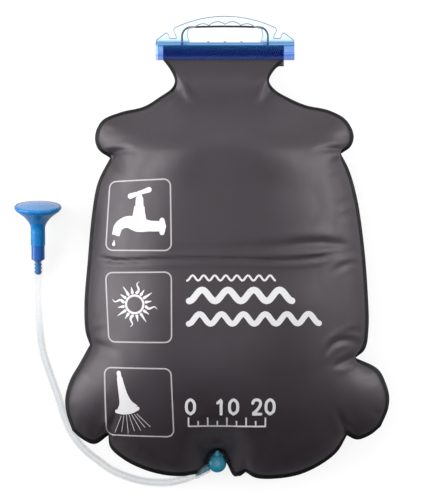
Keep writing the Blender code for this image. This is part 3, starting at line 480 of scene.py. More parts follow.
def tone(made, socket, stops, low, high):
    """Lets one of the shader's colours follow the place along Y, from low to high, by rows of stops."""
    tree = made.node_tree
    ramp = node(tree, "ValToRGB", {"Fac": spread(tree, own_y(tree), 0, 1, low, high, "LINEAR")})
    points = ramp.color_ramp.elements
    points[0].color, points[1].color = (*stops[0][1], 1), (*stops[-1][1], 1)
    for position, colour in stops[1:-1]:
        points.new(position).color = (*colour, 1)
    drive(made, socket, ramp.outputs["Color"])


def film_look():
    made = look("black film", (0.0180, 0.0132, 0.0176), 0.47, Specular_IOR_Level=0.64,
                Specular_Tint=(1.0, 0.93, 0.985, 1.0))
    tint(made, noise(made, 14, 4), (0.0165, 0.0120, 0.0160), (0.0195, 0.0144, 0.0190))
    vary(made, noise(made, 60, 5, (1, 0.5, 1)), 0.44, 0.50)
    relief(made, noise(made, 1500, 2), 0.00003)
    relief(made, noise(made, 260, 3), 0.00006)
    return made


def weld_and_edge_shade_look():
    """The pressed weld: two crossed rows of fine ribs. Its darker colour and duller gloss are painted shade
    for the steep edge of the filled film beside the seam.
    """
    made = look("weld band with painted edge shade", (0.006, 0.006, 0.007), 0.55, Specular_IOR_Level=0.25)
    tree = made.node_tree
    for turn in (math.radians(45), -math.radians(45)):
        slanted = node(tree, "Mapping", {"Vector": own_place(tree), "Rotation": (0, 0, turn)})
        ribs = node(tree, "TexWave", {"Vector": slanted.outputs["Vector"], "Scale": 260})
        relief(made, ribs.outputs["Fac"], 0.00012)
    vary(made, noise(made, 90, 3), 0.42, 0.58)
    return made


def fold_look():
    """The film inside the rail, creased along the rail and out of the light."""
    made = look("film in the rail", (0.010, 0.008, 0.012), 0.6, Specular_IOR_Level=0.1)
    relief(made, noise(made, 300, 2, (0.2, 1, 1)), 0.0001)
    return made


def moulded(name, colour, roughness, **sockets):
    """Moulded plastic: faint orange peel and fine handling marks."""
    made = look(name, colour, roughness, **sockets)
    vary(made, noise(made, 180, 5, (1, 0.35, 1)), roughness * 0.8, roughness * 1.25)
    relief(made, noise(made, 700, 2), 0.00002)
    return made


# Colours at shares of the way up the hanger's blue foot, or up the rail from the bag's mouth
HANGER_TONES = [(0, (0.22, 0.38, 0.72)), (0.16, (0.26, 0.44, 0.78)), (0.34, (0.46, 0.64, 0.86)),
                (1, (0.57, 0.71, 0.85))]
RAIL_TONES = [(0, (0.31, 0.42, 0.60)), (0.16, (0.37, 0.47, 0.66)), (0.29, (0.24, 0.36, 0.62)),
              (0.36, (0.41, 0.54, 0.72)), (0.80, (0.39, 0.52, 0.70)), (0.88, (0.13, 0.23, 0.38)),
              (1, (0.11, 0.20, 0.36))]
RAIL_SHEEN = [(0, (0.18, 0.30, 0.86)), (0.13, (0.13, 0.24, 0.84)), (0.24, (0.01, 0.04, 0.56)),
              (0.48, (0.00, 0.03, 0.44)), (0.62, (0.01, 0.17, 0.66)), (0.84, (0.03, 0.34, 0.86)),
              (1, (0.08, 0.50, 1.00))]


def clear_look():
    """The hanger's clear moulding, which is bluer towards the rail."""
    made = moulded("clear plate", (0.9, 0.94, 0.98), 0.08, Transmission_Weight=1.0, IOR=1.45)
    tone(made, "Base Color", HANGER_TONES, RAIL_TOP, RAIL_TOP + HANGER_BLUE)
    return made


def rail_look():
    """The rail's clear blue, deeper in its lips and in its web."""
    made = moulded("blue rail", (0.38, 0.58, 0.97), 0.14, Transmission_Weight=1.0, IOR=1.2,
                   Specular_Tint=(0.35, 0.55, 1.0, 1.0), Sheen_Weight=0.26, Sheen_Roughness=1.0,
                   Sheen_Tint=(0.02, 0.12, 0.60, 1.0))
    tone(made, "Sheen Tint", RAIL_SHEEN, MOUTH_Y, RAIL_TOP)
    tone(made, "Base Color", RAIL_TONES, MOUTH_Y, RAIL_TOP)
    return made


def hose_look():
    """Soft tube, see-through in the middle of its width, and more opaque away from the shower head as painted
    shade on its lower run.
    """
    made = look("clear hose", (0.46, 0.51, 0.57), 0.25)
    tree = made.node_tree
    vary(made, noise(made, 40, 3), 0.20, 0.32)
    tint(made, noise(made, 25, 2), (0.42, 0.47, 0.54), (0.50, 0.55, 0.60))
    facing = node(tree, "LayerWeight", {"Blend": 0.3}).outputs["Facing"]
    body = spread(tree, facing, 0.11, 0.34, 0, 1, "LINEAR")
    # Painted shade: the hose is made more opaque, so greyer, further from the shower head.
    painted_shade = spread(tree, own_y(tree), 1.0, 0.35, -0.09, -0.02)
    drive(made, "Alpha", reckoned(tree, "MULTIPLY", body, painted_shade))
    return made


LOOKS = {
    "film": film_look(),
    # weld: the pressed weld's look, whose dark colour is painted shade of the steep film edge
    "weld": weld_and_edge_shade_look(),
    "fold": fold_look(),
    "rail": rail_look(),
    "clear": clear_look(),
    # edge: grey, half-clear finish that paints the dark outline of the clear plate's edges as shade
    "edge": moulded("clear plate edge with painted shade", (0.34, 0.42, 0.52), 0.2, Transmission_Weight=0.3),
    "wire": moulded("dark wire", (0.022, 0.022, 0.026), 0.4, Metallic=0.3),
    "rod": moulded("fold rod", (0.02, 0.02, 0.022), 0.5),
    "outlet": moulded("teal moulding", (0.005, 0.25, 0.40), 0.26, Coat_Weight=0.45, Coat_Roughness=0.12),
    "hose": hose_look(),
    "head": moulded("bright blue moulding", (0.002, 0.180, 0.500), 0.26, Specular_IOR_Level=0.4),
    "face": moulded("spray face", (0.060, 0.230, 0.540), 0.30, Coat_Weight=0.7, Coat_Roughness=0.2),
    "stem": moulded("barbed stem", (0.004, 0.150, 0.420), 0.3),
    "collar": moulded("deep blue moulding", (0.008, 0.100, 0.400), 0.24, Coat_Weight=0.25,
                      Coat_Roughness=0.1),
    "seal": moulded("soft black rubber", (0.012, 0.012, 0.012), 0.7),
    "ink": moulded("white ink", (0.68, 0.67, 0.69), 0.5),
    "thin ink": moulded("thin white ink", (0.40, 0.39, 0.40), 0.5),
}


# Camera

def set_camera():
    """Straight above the middle of the photograph, with the whole of its height in the frame."""
    data = bpy.data.cameras.new("camera")
    data.sensor_width = SENSOR
    data.lens = SENSOR * CAMERA_DISTANCE / (PHOTO_HEIGHT * PIXEL)
    data.clip_end = CAMERA_REACH
    camera = placed("camera", data)
    camera.location = (*at(PHOTO_WIDTH / 2, PHOTO_HEIGHT / 2), SEAM_HEIGHT + CAMERA_DISTANCE)
    bpy.context.scene.camera = camera


# Hose

def barb_direction():
    return Vector((math.cos(BARB_TURN), math.sin(BARB_TURN), 0))


def hub_place():
    return Vector((PORT_X, PORT_Y - HUB_DISTANCE, PORT_Z))


def head_direction():
    return Vector((math.sin(HEAD_YAW), math.cos(HEAD_YAW), math.tan(HEAD_TILT))).normalized()


def hose_path():
    """Even places along the middle of the hose, from the outlet's barb to the valve's stem."""
    out, into = barb_direction(), head_direction()
    start = hub_place() + out * (HUB_RADIUS + GAP)
    end = HEAD_PLACE - into * GAP
    along = [(BARB_LENGTH + BARB_RADIUS) * share for share in GRIP_SHARES]
    route = [Vector(place) for place in HOSE_ROUTE]
    knots = [start + out * step for step in along] + route + [end - into * step for step in along[::-1]]
    return even(through(knots), HOSE_RINGS)


def rings_along(path, radii):
    """Rings of points round a path, without a twist."""
    rings = []
    up = Vector((0, 0, 1))
    for place, step, radius in zip(path, np.gradient(path, axis=0), radii):
        forward = Vector(step).normalized()
        side = forward.cross(up).normalized()
        over = side.cross(forward)
        rings.append([Vector(place) + (math.cos(a) * side + math.sin(a) * over) * float(radius)
                      for a in (math.tau * k / HOSE_SIDES for k in range(HOSE_SIDES))])
        up = over
    return rings


def hose():
    """A soft tube with its bore, stretched where it is pushed over the barbs."""
    path = hose_path()
    length = float(np.linalg.norm(np.diff(path, axis=0), axis=1).sum())
    station = np.linspace(0, length, len(path))
    from_end = np.minimum(station, length - station)
    swell = HOSE_STRETCH * (1 - smooth((from_end - BARB_LENGTH) / BARB_RADIUS))
    rings = rings_along(path, HOSE_RADIUS + swell) + rings_along(path, HOSE_BORE + swell)
    rows = np.arange(len(rings) * HOSE_SIDES).reshape(len(rings), HOSE_SIDES).tolist()
    outer, inner = rows[:len(path)], rows[len(path):]
    mesh = mesh_of("clear_hose", [place for ring in rings for place in ring],
                   quads([*outer, *inner[::-1], outer[0]], closed=True))
    mesh.shade_smooth()
    piece = add("clear_hose", mesh, LOOKS["hose"])
    join(piece, "bag", "hose")


# Shower head

def turned(name, profile, sides):
    """A mesh turned about Z from a closed loop of radii and heights."""
    rings, vertices = [], []
    for radius, height in profile:
        if radius < 1e-9:
            rings.append([len(vertices)] * sides)
            vertices.append((0, 0, height))
        else:
            rings.append(list(range(len(vertices), len(vertices) + sides)))
            vertices += [(x, y, height) for x, y in circle(0, 0, radius, sides)]
    faces = [list(dict.fromkeys(face)) for face in quads([*rings, rings[0]], closed=True)]
    mesh = mesh_of(name, vertices, [face for face in faces if len(face) > 2])
    shape = bmesh.new()
    shape.from_mesh(mesh)
    bmesh.ops.recalc_face_normals(shape, faces=shape.faces)
    shape.to_mesh(mesh)
    shape.free()
    mesh.shade_smooth()
    mesh.set_sharp_from_angle(angle=SHARP_ANGLE)
    return mesh


def bored(mesh, centres, radius, low, high, sides=14):
    """The mesh with round holes cut through it along Z."""
    vertices, faces = [], []
    for centre in centres:
        rings = []
        for z in (low, high):
            rings.append(list(range(len(vertices), len(vertices) + sides)))
            vertices += [(x, y, z) for x, y in circle(*centre, radius, sides)]
        faces += [*quads(rings, closed=True), rings[0][::-1], rings[1]]
    tool = placed("jets", mesh_of("jets", vertices, faces))
    body = placed("bored", mesh)
    cut = body.modifiers.new("jets", "BOOLEAN")
    cut.operation = "DIFFERENCE"
    cut.solver = "EXACT"
    cut.object = tool
    graph = bpy.context.evaluated_depsgraph_get()
    made = bpy.data.meshes.new_from_object(body.evaluated_get(graph))
    for obj in (tool, body):
        bpy.data.objects.remove(obj)
    return made


def shower_head():
    """The bell with its rounded rim, and the domed face with its jets."""
    barrel_low = COLLAR_LENGTH + GAP
    barrel_high = barrel_low + BARREL_LENGTH
    shoulder = barrel_high + SHOULDER_LENGTH
    flare = shoulder + FLARE_LENGTH
    disc = flare + DISC_LENGTH
    face = disc + RIM_LENGTH
    port_top = VALVE_SEAT + PORT_WALL
    plate_low = face - PLATE_INSET - PLATE_THICKNESS
    neck = COLLAR_RADIUS - COLLAR_WALL - GAP
    cup = RIM_RADIUS - HEAD_WALL
    curve = [(BARREL_RADIUS, barrel_high), (SHOULDER_RADIUS, shoulder), (FLARE_RADIUS, flare), (cup, disc)]
    bell = [tuple(p) for p in even(through(curve), BELL_STEPS)][::-1]
    rim = []
    for centre, start, end in ((face - RIM_ROUND, 90, 0), (disc + HEAD_WALL / 2 + RIM_ROUND, 0, -70)):
        for step in range(RIM_STEPS + 1):
            turn = math.radians(start + (end - start) * step / RIM_STEPS)
            rim.append((RIM_RADIUS - RIM_ROUND + RIM_ROUND * math.cos(turn),
                        centre + RIM_ROUND * math.sin(turn)))
    inside = [(r - HEAD_WALL, z + HEAD_WALL / 2) for r, z in bell[::-1] if z > port_top + HEAD_WALL]
    profile = [*rim, *bell, (BARREL_RADIUS, barrel_low), (neck, barrel_low), (neck, COLLAR_FLOOR + GAP),
               (VALVE_BORE, COLLAR_FLOOR + GAP), (VALVE_BORE, VALVE_SEAT), (VALVE_PORT, VALVE_SEAT),
               (VALVE_PORT, port_top), (BARREL_RADIUS - HEAD_WALL, port_top + HEAD_WALL), *inside,
               (RIM_RADIUS - 2 * HEAD_WALL, plate_low - GAP), (cup, plate_low - GAP), (cup, face)]
    body = turned("head_bell", profile, HEAD_SIDES)

    radius = cup - GAP
    top = face - PLATE_INSET
    dome = [(radius * k / FACE_STEPS, top + FACE_CROWN * (1 - (k / FACE_STEPS) ** 2))
            for k in range(FACE_STEPS + 1)]
    under = [(r, z - PLATE_THICKNESS) for r, z in reversed(dome)]
    plate = turned("spray_face", [*dome, *under], HEAD_SIDES)
    jets = [(0, 0)]
    for ring in range(1, JET_RINGS + 1):
        jets += circle(0, 0, JET_PITCH * ring, JETS_IN_FIRST_RING * ring)
    plate = bored(plate, jets, JET_RADIUS, plate_low - 2 * PLATE_THICKNESS, face + 2 * FACE_CROWN)
    place = aimed(HEAD_PLACE, head_direction())
    for name, mesh, replaced, finish in (("head_bell", body, "shower_head_body", "head"),
                                         ("spray_face", plate, "spray_plate", "face")):
        mesh.transform(place)
        mesh.materials.clear()
        join(add(name, mesh, LOOKS[finish]), "head", replaced)


def stem_barbs():
    """The ribs of the stem that grip the hose."""
    outer = []
    pitch = BARB_LENGTH / BARB_COUNT
    for rib in range(BARB_COUNT):
        low = -BARB_LENGTH + pitch * rib
        crest_low, crest_high, end = (low + pitch * share for share in BARB_CREST_SHARES)
        outer += [(BARB_RADIUS, low + BARB_FOOT), (BARB_CREST, crest_low), (BARB_CREST, crest_high),
                  (BARB_RADIUS, end)]
    core = BARB_RADIUS - BARB_DEPTH
    mesh = turned("stem_barbs", [*outer, (core, outer[-1][1]), (core, outer[0][1])], BARB_SIDES)
    mesh.transform(aimed(HEAD_PLACE, head_direction()))
    join(add("stem_barbs", mesh, LOOKS["stem"]), "bag")


# Films

def seam_z(x, y):
    """The seam's height: level along the bag, lower towards its bottom, and drawn down at the outlet."""
    free = SEAM_HEIGHT - SEAM_DROOP * smooth((-DROOP_START - y) / (-DROOP_START - BAG_BOTTOM))
    beside = np.clip(abs(x - PORT_X) - PORT_WIDTH / 2, 0, None) / PORT_DIP_WIDTH
    inward = np.clip(y - PORT_Y - BOAT_LENGTH, 0, None) / PORT_DIP_REACH
    dip = 1 - smooth(np.hypot(beside, inward))
    return free + (PORT_Z - free) * dip


def outline(side, fine):
    """The seam's edge as points on the left side, the bottom and the right side."""
    def chain(*runs):
        """Smooth runs of segments joined end to end, each from its knots, given as shares."""
        places = []
        for shares, segments in runs:
            knots = np.array(shares) * [BAG_WIDTH, BAG_LENGTH] + [0, BAG_BOTTOM]
            places.append(even(through(knots), segments * fine)[1 if places else 0:])
        return np.vstack(places)

    notch = FRONT_NOTCH if side > 0 else BACK_NOTCH
    left = chain((LEFT_LOBE, 5), (LEFT_SIDE, 8), (LEFT_SHOULDER, 10))
    bottom = chain((LEFT_HEM, 2), (LEFT_BOTTOM + notch, 13), (RIGHT_HEM, 6), (RIGHT_CORNER, 2))
    right = chain((RIGHT_LOBE, 5), (RIGHT_SIDE, 8), (RIGHT_SHOULDER, 10))
    return left, bottom, right


def normals_of(chain):
    """The directions into the bag from a chain that runs down its left side and up its right."""
    steps = np.diff(chain, axis=0)
    normals = np.stack([-steps[:, 1], steps[:, 0]], axis=1)
    return normals / np.linalg.norm(normals, axis=1)[:, None]


def inset(chain, distance):
    """The chain of seam points moved into the bag."""
    normals = normals_of(chain)
    ends = np.vstack([normals[:1], normals, normals[-1:]])
    turned_in = ends[:-1] + ends[1:]
    scale = 2 / np.maximum(np.sum(turned_in**2, axis=1), 1.0)
    moved = chain + distance * turned_in * scale[:, None]
    moved[0] = chain[0] + [distance, 0]
    moved[-1] = chain[-1] - [distance, 0]
    return moved


def coons(left, bottom, right, top):
    """A grid of points stretched between the four edges, by row from the bottom to the top.

    What the bottom departs from a straight line fades quickly up the grid, to keep its cells open."""
    u = np.linspace(0, 1, len(bottom))[None, :, None]
    v = ((left[:, 1] - left[0, 1]) / (left[-1, 1] - left[0, 1]))[:, None, None]
    level_bottom = (1 - u) * left[0] + u * right[0]
    level_top = (1 - u) * left[-1] + u * right[-1]
    return ((1 - u) * left[:, None] + u * right[:, None] + (1 - v) ** 3 * (bottom[None] - level_bottom)
            + v * (top[None] - level_top))


def relaxed(grid, rounds=10, more=60):
    """The grid with its kinks drawn out. The later rounds only pull crossed cells apart."""
    for count in range(rounds + more):
        drawn = (grid[1:-1, :-2] + grid[1:-1, 2:] + grid[:-2, 1:-1] + grid[2:, 1:-1]) / 4
        if count < rounds:
            grid[1:-1, 1:-1] = drawn
            continue
        along, up = np.diff(grid, axis=1), np.diff(grid, axis=0)
        turn = along[:-1, :, 0] * up[:, :-1, 1] - along[:-1, :, 1] * up[:, :-1, 0]
        back = along[1:, :, 0] * up[:, 1:, 1] - along[1:, :, 1] * up[:, 1:, 0]
        crossed = (turn <= 0) | (back <= 0)
        near = np.zeros(grid.shape[:2], bool)
        for row, column in np.argwhere(crossed):
            near[max(row - 2, 0):row + 4, max(column - 2, 0):column + 4] = True
        near = near[1:-1, 1:-1]
        grid[1:-1, 1:-1][near] = drawn[near]
    return grid


def settled(x, y, share, source, rounds=1500, close=1e-12, sharpest=0.04):
    """A share of swell drawn taut over the outline, as an even pressure draws a film.

    The share stays as it is on the grid's edges. source is how much each place bulges for itself.
    Every cell counts as two triangles, and each link between places pulls by their shapes. sharpest
    is the least sine that counts for a triangle's corner."""
    places = np.stack([x, y], axis=2)
    low_left, low_right = places[:-1, :-1], places[:-1, 1:]
    high_left, high_right = places[1:, :-1], places[1:, 1:]

    def pull(corner, first, second):
        a, b = first - corner, second - corner
        across = abs(a[..., 0] * b[..., 1] - a[..., 1] * b[..., 0])
        least = sharpest * np.linalg.norm(a, axis=2) * np.linalg.norm(b, axis=2)
        return (a * b).sum(axis=2) / np.maximum(across, least) / 2, across / 2

    below, lower = pull(high_right, low_left, low_right)
    rightwards, _ = pull(low_left, low_right, high_right)
    slant_low, _ = pull(low_right, low_left, high_right)
    slant_high, upper = pull(high_left, low_left, high_right)
    above, _ = pull(low_left, high_right, high_left)
    leftwards, _ = pull(high_right, high_left, low_left)
    level = below[1:] + above[:-1]
    upright = leftwards[:, 1:] + rightwards[:, :-1]
    slant = slant_low + slant_high
    area = lower[1:, 1:] + upper[1:, 1:] + lower[1:, :-1] + upper[:-1, 1:] + lower[:-1, :-1] + upper[:-1, :-1]
    left, right, down, up = level[:, :-1], level[:, 1:], upright[:-1], upright[1:]
    down_left, up_right = slant[:-1, :-1], slant[1:, 1:]
    total = left + right + down + up + down_left + up_right

    def strain(values):
        return (total * values[1:-1, 1:-1] - left * values[1:-1, :-2] - right * values[1:-1, 2:]
                - down * values[:-2, 1:-1] - up * values[2:, 1:-1]
                - down_left * values[:-2, :-2] - up_right * values[2:, 2:])

    rest = source[1:-1, 1:-1] * area / 3 - strain(share)
    step = np.zeros(share.shape)
    step[1:-1, 1:-1] = rest / total
    gain = (rest * rest / total).sum()
    enough = gain * close
    for _ in range(rounds):
        strained = strain(step)
        length = gain / (step[1:-1, 1:-1] * strained).sum()
        share = share + length * step
        rest = rest - length * strained
        fresh = (rest * rest / total).sum()
        if fresh < enough:
            break
        step[1:-1, 1:-1] = rest / total + fresh / gain * step[1:-1, 1:-1]
        gain = fresh
    return share


def swell_of(x, y):
    """How far the film swells at each place of the grid, from 0 at the seam to 1."""
    stations, halves = through(PLAIN_HALF_SHARES).T
    half = np.interp((y - BAG_BOTTOM) / BAG_LENGTH, stations, halves) * BAG_WIDTH
    inward = np.clip((y - BAG_BOTTOM) / BOTTOM_REACH, 0, 1)
    sideways = np.clip(1 - (x / half) ** 2, 0, 1)
    source = 2 / half**2 * (2 - inward) * inward + 2 / BOTTOM_REACH**2 * (1 - smooth(inward)) * sideways
    across = (x - x[:, :1]) / (x[:, -1:] - x[:, :1])
    share = np.zeros(x.shape)
    share[-1] = 1 - (2 * across[-1] - 1) ** 2
    share = np.clip(settled(x, y, share, source), 0, None)
    share /= share[:len(share) // 2].max()
    for _ in range(3):
        share[1:-1, 1:-1] = (share[1:-1, :-2] + share[1:-1, 2:] + share[:-2, 1:-1] + share[2:, 1:-1]) / 4
    share += share**4 * (1 - share) * smooth((abs(y - FULL_MIDDLE) - FULL_HALF) / FULL_FADE)
    upward = np.clip((MOUTH_Y - y) / NECK_REACH, 0, 1)
    return share**SWELL_POWER * upward**3 * (10 + upward * (6 * upward - 15))


def port_bulge(x, y):
    """How far each film stands off the seam's plane over the outlet."""
    across = np.clip(1 - (2 * (x - PORT_X) / PORT_WIDTH) ** 2, 0, 1)
    inward = np.clip((y - PORT_Y - BOAT_LENGTH) / BOAT_LENGTH, 0, 1)
    return PORT_RISE * across * (1 - smooth(inward))


def fold_path(radius, layer, arc_steps=16):
    """Side view of a film from the rail's mouth, over the rod and back out, as (y, z) rows."""
    below = Vector((LIP_TOP - ROD_Y, layer))
    lean = math.asin(radius / below.length)
    toward = math.atan2(layer, -(LIP_TOP - ROD_Y))
    touch = math.pi / 2 - lean + toward
    half = arc_steps // 2
    angles = [math.pi - touch - (math.pi - touch) * k / half for k in range(half + 1)]
    arc = [(ROD_Y + radius * math.cos(a), RAIL_Z + radius * math.sin(a)) for a in angles]
    front = [(LIP_TOP, RAIL_Z + layer), *arc]
    back = [(y, 2 * RAIL_Z - z) for y, z in reversed(front[:-1])]
    return [*front, *back, (MOUTH_Y, RAIL_Z - layer)]


def over_outlet(x, y, height, clearance=0.0009, slope=1.1, blur=0.0012):
    """The front film's height where it drapes over the outlet's hub and its neck."""
    hub = hub_place()
    away = np.hypot(x - hub.x, y - hub.y)
    inside = np.sqrt(np.clip(1 - (away / HUB_RADIUS) ** 2, 0, 1))
    round_top = HUB_EDGE_SHARE + (1 - HUB_EDGE_SHARE) * inside
    dome = HUB_HEIGHT / 2 * round_top - slope * np.clip(away - HUB_RADIUS, 0, None)
    boss = SPIGOT_RADIUS + HUB_WALL
    beside = np.clip(abs(x - hub.x) - boss, 0, None)
    beyond = np.clip(y - (hub.y + HUB_RADIUS + HUB_BOSS / 2), 0, None)
    neck = np.sqrt(np.clip(boss**2 - (x - hub.x) ** 2, 0, None)) - slope * (beside + beyond)
    support = PORT_Z + np.maximum(dome, neck) + FILM / 2 + clearance
    return (height + support + np.sqrt((height - support) ** 2 + blur**2)) / 2


def line_distance(x, y, line):
    """Each point's distance from a line, and the line's last value at its nearest place."""
    nearest = np.full(x.shape, np.inf)
    value = np.zeros(x.shape)
    for first, second in zip(line, line[1:]):
        step = second[:2] - first[:2]
        share = ((x - first[0]) * step[0] + (y - first[1]) * step[1]) / max(step @ step, 1e-12)
        share = np.clip(share, 0, 1)
        gap = np.hypot(x - first[0] - share * step[0], y - first[1] - share * step[1])
        closer = gap < nearest
        nearest = np.where(closer, gap, nearest)
        value = np.where(closer, first[2] + share * (second[2] - first[2]), value)
    return nearest, value


def crease(x, y, line, width, shoulder=0.45, shoulder_place=2.3, shoulder_width=1.3):
    """What a fold adds to the height: a valley with a round shoulder on each side.

    The shoulder's height is a share of the valley's depth, and its place and width of the width."""
    away, depth = line_distance(x, y, line)
    valley = np.exp(-((away / width) ** 2))
    ridge = np.exp(-(((away - shoulder_place * width) / (shoulder_width * width)) ** 2))
    return depth * (shoulder * ridge - valley)


# Folds of the front film: pixels of the photograph with the depth there in millimetres, and a width
FRONT_FOLDS = [
    ([(106, 157, 4.0), (116, 153, 3.4), (128, 152, 1.4), (142, 155, 0.0)], 3.6),
    ([(109, 160, 1.5), (121, 168, 1.2), (131, 180, 0.0)], 4.0),
    ([(345, 153, 4.0), (335, 150, 3.2), (322, 151, 1.2), (308, 155, 0.0)], 3.6),
    ([(343, 156, 1.2), (334, 165, 1.2), (322, 172, 0.0)], 4.0),
    ([(96, 256, 0.6), (104, 259, 3.0), (122, 261, 2.9), (150, 260, 2.1), (220, 259, 1.8), (290, 260, 2.3),
      (320, 257, 2.4), (336, 252, 0.8)], 2.4),
    ([(150, 251, 0.0), (220, 249, 0.7), (280, 246, 1.3), (315, 243, 2.6), (338, 245, 2.4),
      (354, 250, 0.6)], 5.4),
    ([(361, 254, 0.6), (347, 253, 1.5), (333, 256, 1.0), (320, 262, 0.0)], 3.0),
    ([(362, 264, 0.6), (350, 263, 1.3), (337, 268, 0.8), (326, 275, 0.0)], 3.0),
    ([(90, 262, 0.3), (104, 260, 1.2), (122, 263, 0.8), (140, 268, 0.0)], 3.2),
    ([(350, 172, 0.4), (338, 175, 1.1), (324, 183, 0.0)], 4.0),
    ([(356, 196, 0.4), (345, 203, 1.4), (330, 208, 0.0)], 4.4),
    ([(359, 214, 0.4), (347, 214, 1.2), (334, 220, 0.0)], 4.0),
    ([(368, 358, 3.2), (354, 357, 3.6), (342, 361, 2.0), (330, 366, 0.0)], 3.8),
    ([(362, 343, 0.6), (348, 339, 2.0), (336, 340, 2.2), (328, 346, 1.4), (325, 354, 0.0)], 3.6),
    ([(364, 333, 0.4), (352, 331, 1.1), (340, 333, 0.5), (330, 337, 0.0)], 3.0),
    ([(84, 344, 1.8), (96, 344, 1.9), (110, 347, 1.0), (122, 352, 0.0)], 4.0),
    ([(88, 338, 0.8), (98, 331, 1.1), (108, 326, 0.0)], 3.4),
    ([(105, 438, 4.2), (110, 428, 3.0), (115, 417, 1.3), (119, 404, 0.0)], 3.8),
    ([(352, 438, 4.2), (345, 428, 3.0), (339, 417, 1.2), (335, 405, 0.0)], 3.8),
    ([(210, 455, 1.6), (203, 446, 1.8), (197, 436, 1.5), (193, 422, 0.0)], 4.6),
    ([(224, 455, 1.6), (230, 446, 1.8), (234, 437, 1.5), (236, 422, 0.0)], 4.6),
    ([(246, 476, 2.2), (246, 466, 1.4), (244, 454, 0.0)], 3.2),
    ([(177, 68, -0.6), (181, 79, -2.4), (186, 91, -3.6), (190, 99, -2.4), (192, 106, 0.0)], 5.0),
    ([(270, 68, -0.6), (266, 79, -2.4), (261, 91, -3.8), (257, 100, -2.6), (255, 107, 0.0)], 5.0),
    ([(166, 61, 0.8), (172, 67, 1.9), (180, 73, 1.0), (187, 77, 0.0)], 3.2),
    ([(280, 61, 0.8), (275, 67, 1.9), (268, 74, 1.0), (262, 79, 0.0)], 3.2),
    ([(160, 108, 0.0), (172, 98, 1.4), (180, 89, 0.5)], 4.0),
    ([(286, 108, 0.0), (275, 98, 1.4), (268, 89, 0.5)], 4.0),
]


def fold_lines(folds):
    """The folds' lines in metres, with the depth at each place, and their widths."""
    found = []
    for knots, width in folds:
        line = np.array([(*at(px, py), depth / 1000) for px, py, depth in knots])
        found.append((even(through(line, 6), 12), width / 1000))
    return found


def edge_folds(chain, seed):
    """Small puckers that run in from the seam, at uneven steps. Each is its line and its width."""
    draw = random.Random(seed)
    normals = normals_of(chain)
    found = []
    for index in range(PUCKERS):
        share = (index + draw.uniform(0.15, 0.85)) / PUCKERS
        place = min(int(share * len(normals)), len(normals) - 1)
        reach = draw.uniform(*PUCKER_REACH)
        turn = draw.uniform(-PUCKER_TURN, PUCKER_TURN)
        normal = normals[place]
        turned_in = np.array([normal[0] * math.cos(turn) - normal[1] * math.sin(turn),
                              normal[0] * math.sin(turn) + normal[1] * math.cos(turn)])
        depth = draw.uniform(*PUCKER_DEPTH)
        start = chain[place]
        line = [(*start, depth), (*(start + turned_in * reach / 2), depth * 0.7),
                (*(start + turned_in * reach), 0)]
        found.append((np.array(line), draw.uniform(*PUCKER_WIDTH)))
    return found


def waves(x, y, seed):
    """Soft unevenness: many long waves in all directions."""
    draw = random.Random(seed)
    total = np.zeros(x.shape)
    for _ in range(WAVE_COUNT):
        turn, phase = draw.uniform(0, math.tau), draw.uniform(0, math.tau)
        rate = math.tau / draw.uniform(*WAVE_LENGTHS)
        total += np.sin(rate * (x * math.cos(turn) + y * math.sin(turn)) + phase)
    return total * WAVE_SIZE / math.sqrt(WAVE_COUNT)


def tail_length(x):
    """How far the film's folded end hangs out of the rail: slanted at the left, square at the right."""
    slant = np.clip((x - x[0]) / TAIL_SLANT, TAIL_LEAST_SHARE, 1)
    step = TAIL_STEP_SHARE * smooth((x - x[-1] + TAIL_STEP) / TAIL_STEP_FADE)
    return TAIL_LENGTH * slant * (1 - step)


def film_grid(side, fine):
    """The seam's chain, the chain inside its weld, and the grid of places between."""
    left, bottom, right = outline(side, fine)
    chain = np.vstack([left[::-1], bottom[1:], right[1:]])
    inner = inset(chain, SEAM_WIDTH)
    rows, columns = len(left), len(bottom)
    inner_left = inner[:rows][::-1]
    inner_bottom = inner[rows - 1:rows - 1 + columns]
    inner_right = inner[rows - 2 + columns:]
    inner_top = inner_left[-1] + np.linspace(0, 1, columns)[:, None] * (inner_right[-1] - inner_left[-1])
    return chain, inner, relaxed(coons(inner_left, inner_bottom, inner_right, inner_top))


def film_heights(side, chain, inner, grid, folds, seed):
    """The heights of a film at its grid and at its welded edge."""
    x, y = grid[:, :, 0], grid[:, :, 1]
    swell = swell_of(x, y)
    detail = waves(x, y, seed) * smooth(swell / WAVE_FADE_SHARE)
    for line, width in folds:
        detail = detail + crease(x, y, line, width)
    puckers = sum(crease(x, y, line, width) for line, width in edge_folds(inner, seed))
    detail = detail + puckers * smooth(swell / PUCKER_FADE_SHARE)
    loose = smooth((MOUTH_Y - LOOSE_START - y) / LOOSE_FADE)
    flat = FILM_PITCH / 2 + port_bulge(x, y)
    depth = CROWN if side > 0 else BACK_DEPTH
    height = seam_z(x, y) + side * np.maximum(flat + depth * swell + detail * loose, flat)
    edge_height = seam_z(*chain.T) + side * (FILM_PITCH / 2 + port_bulge(*chain.T))
    if side > 0:
        height = over_outlet(x, y, height)
        edge_height = over_outlet(*chain.T, edge_height)
    return np.maximum(height, FILM / 2), edge_height


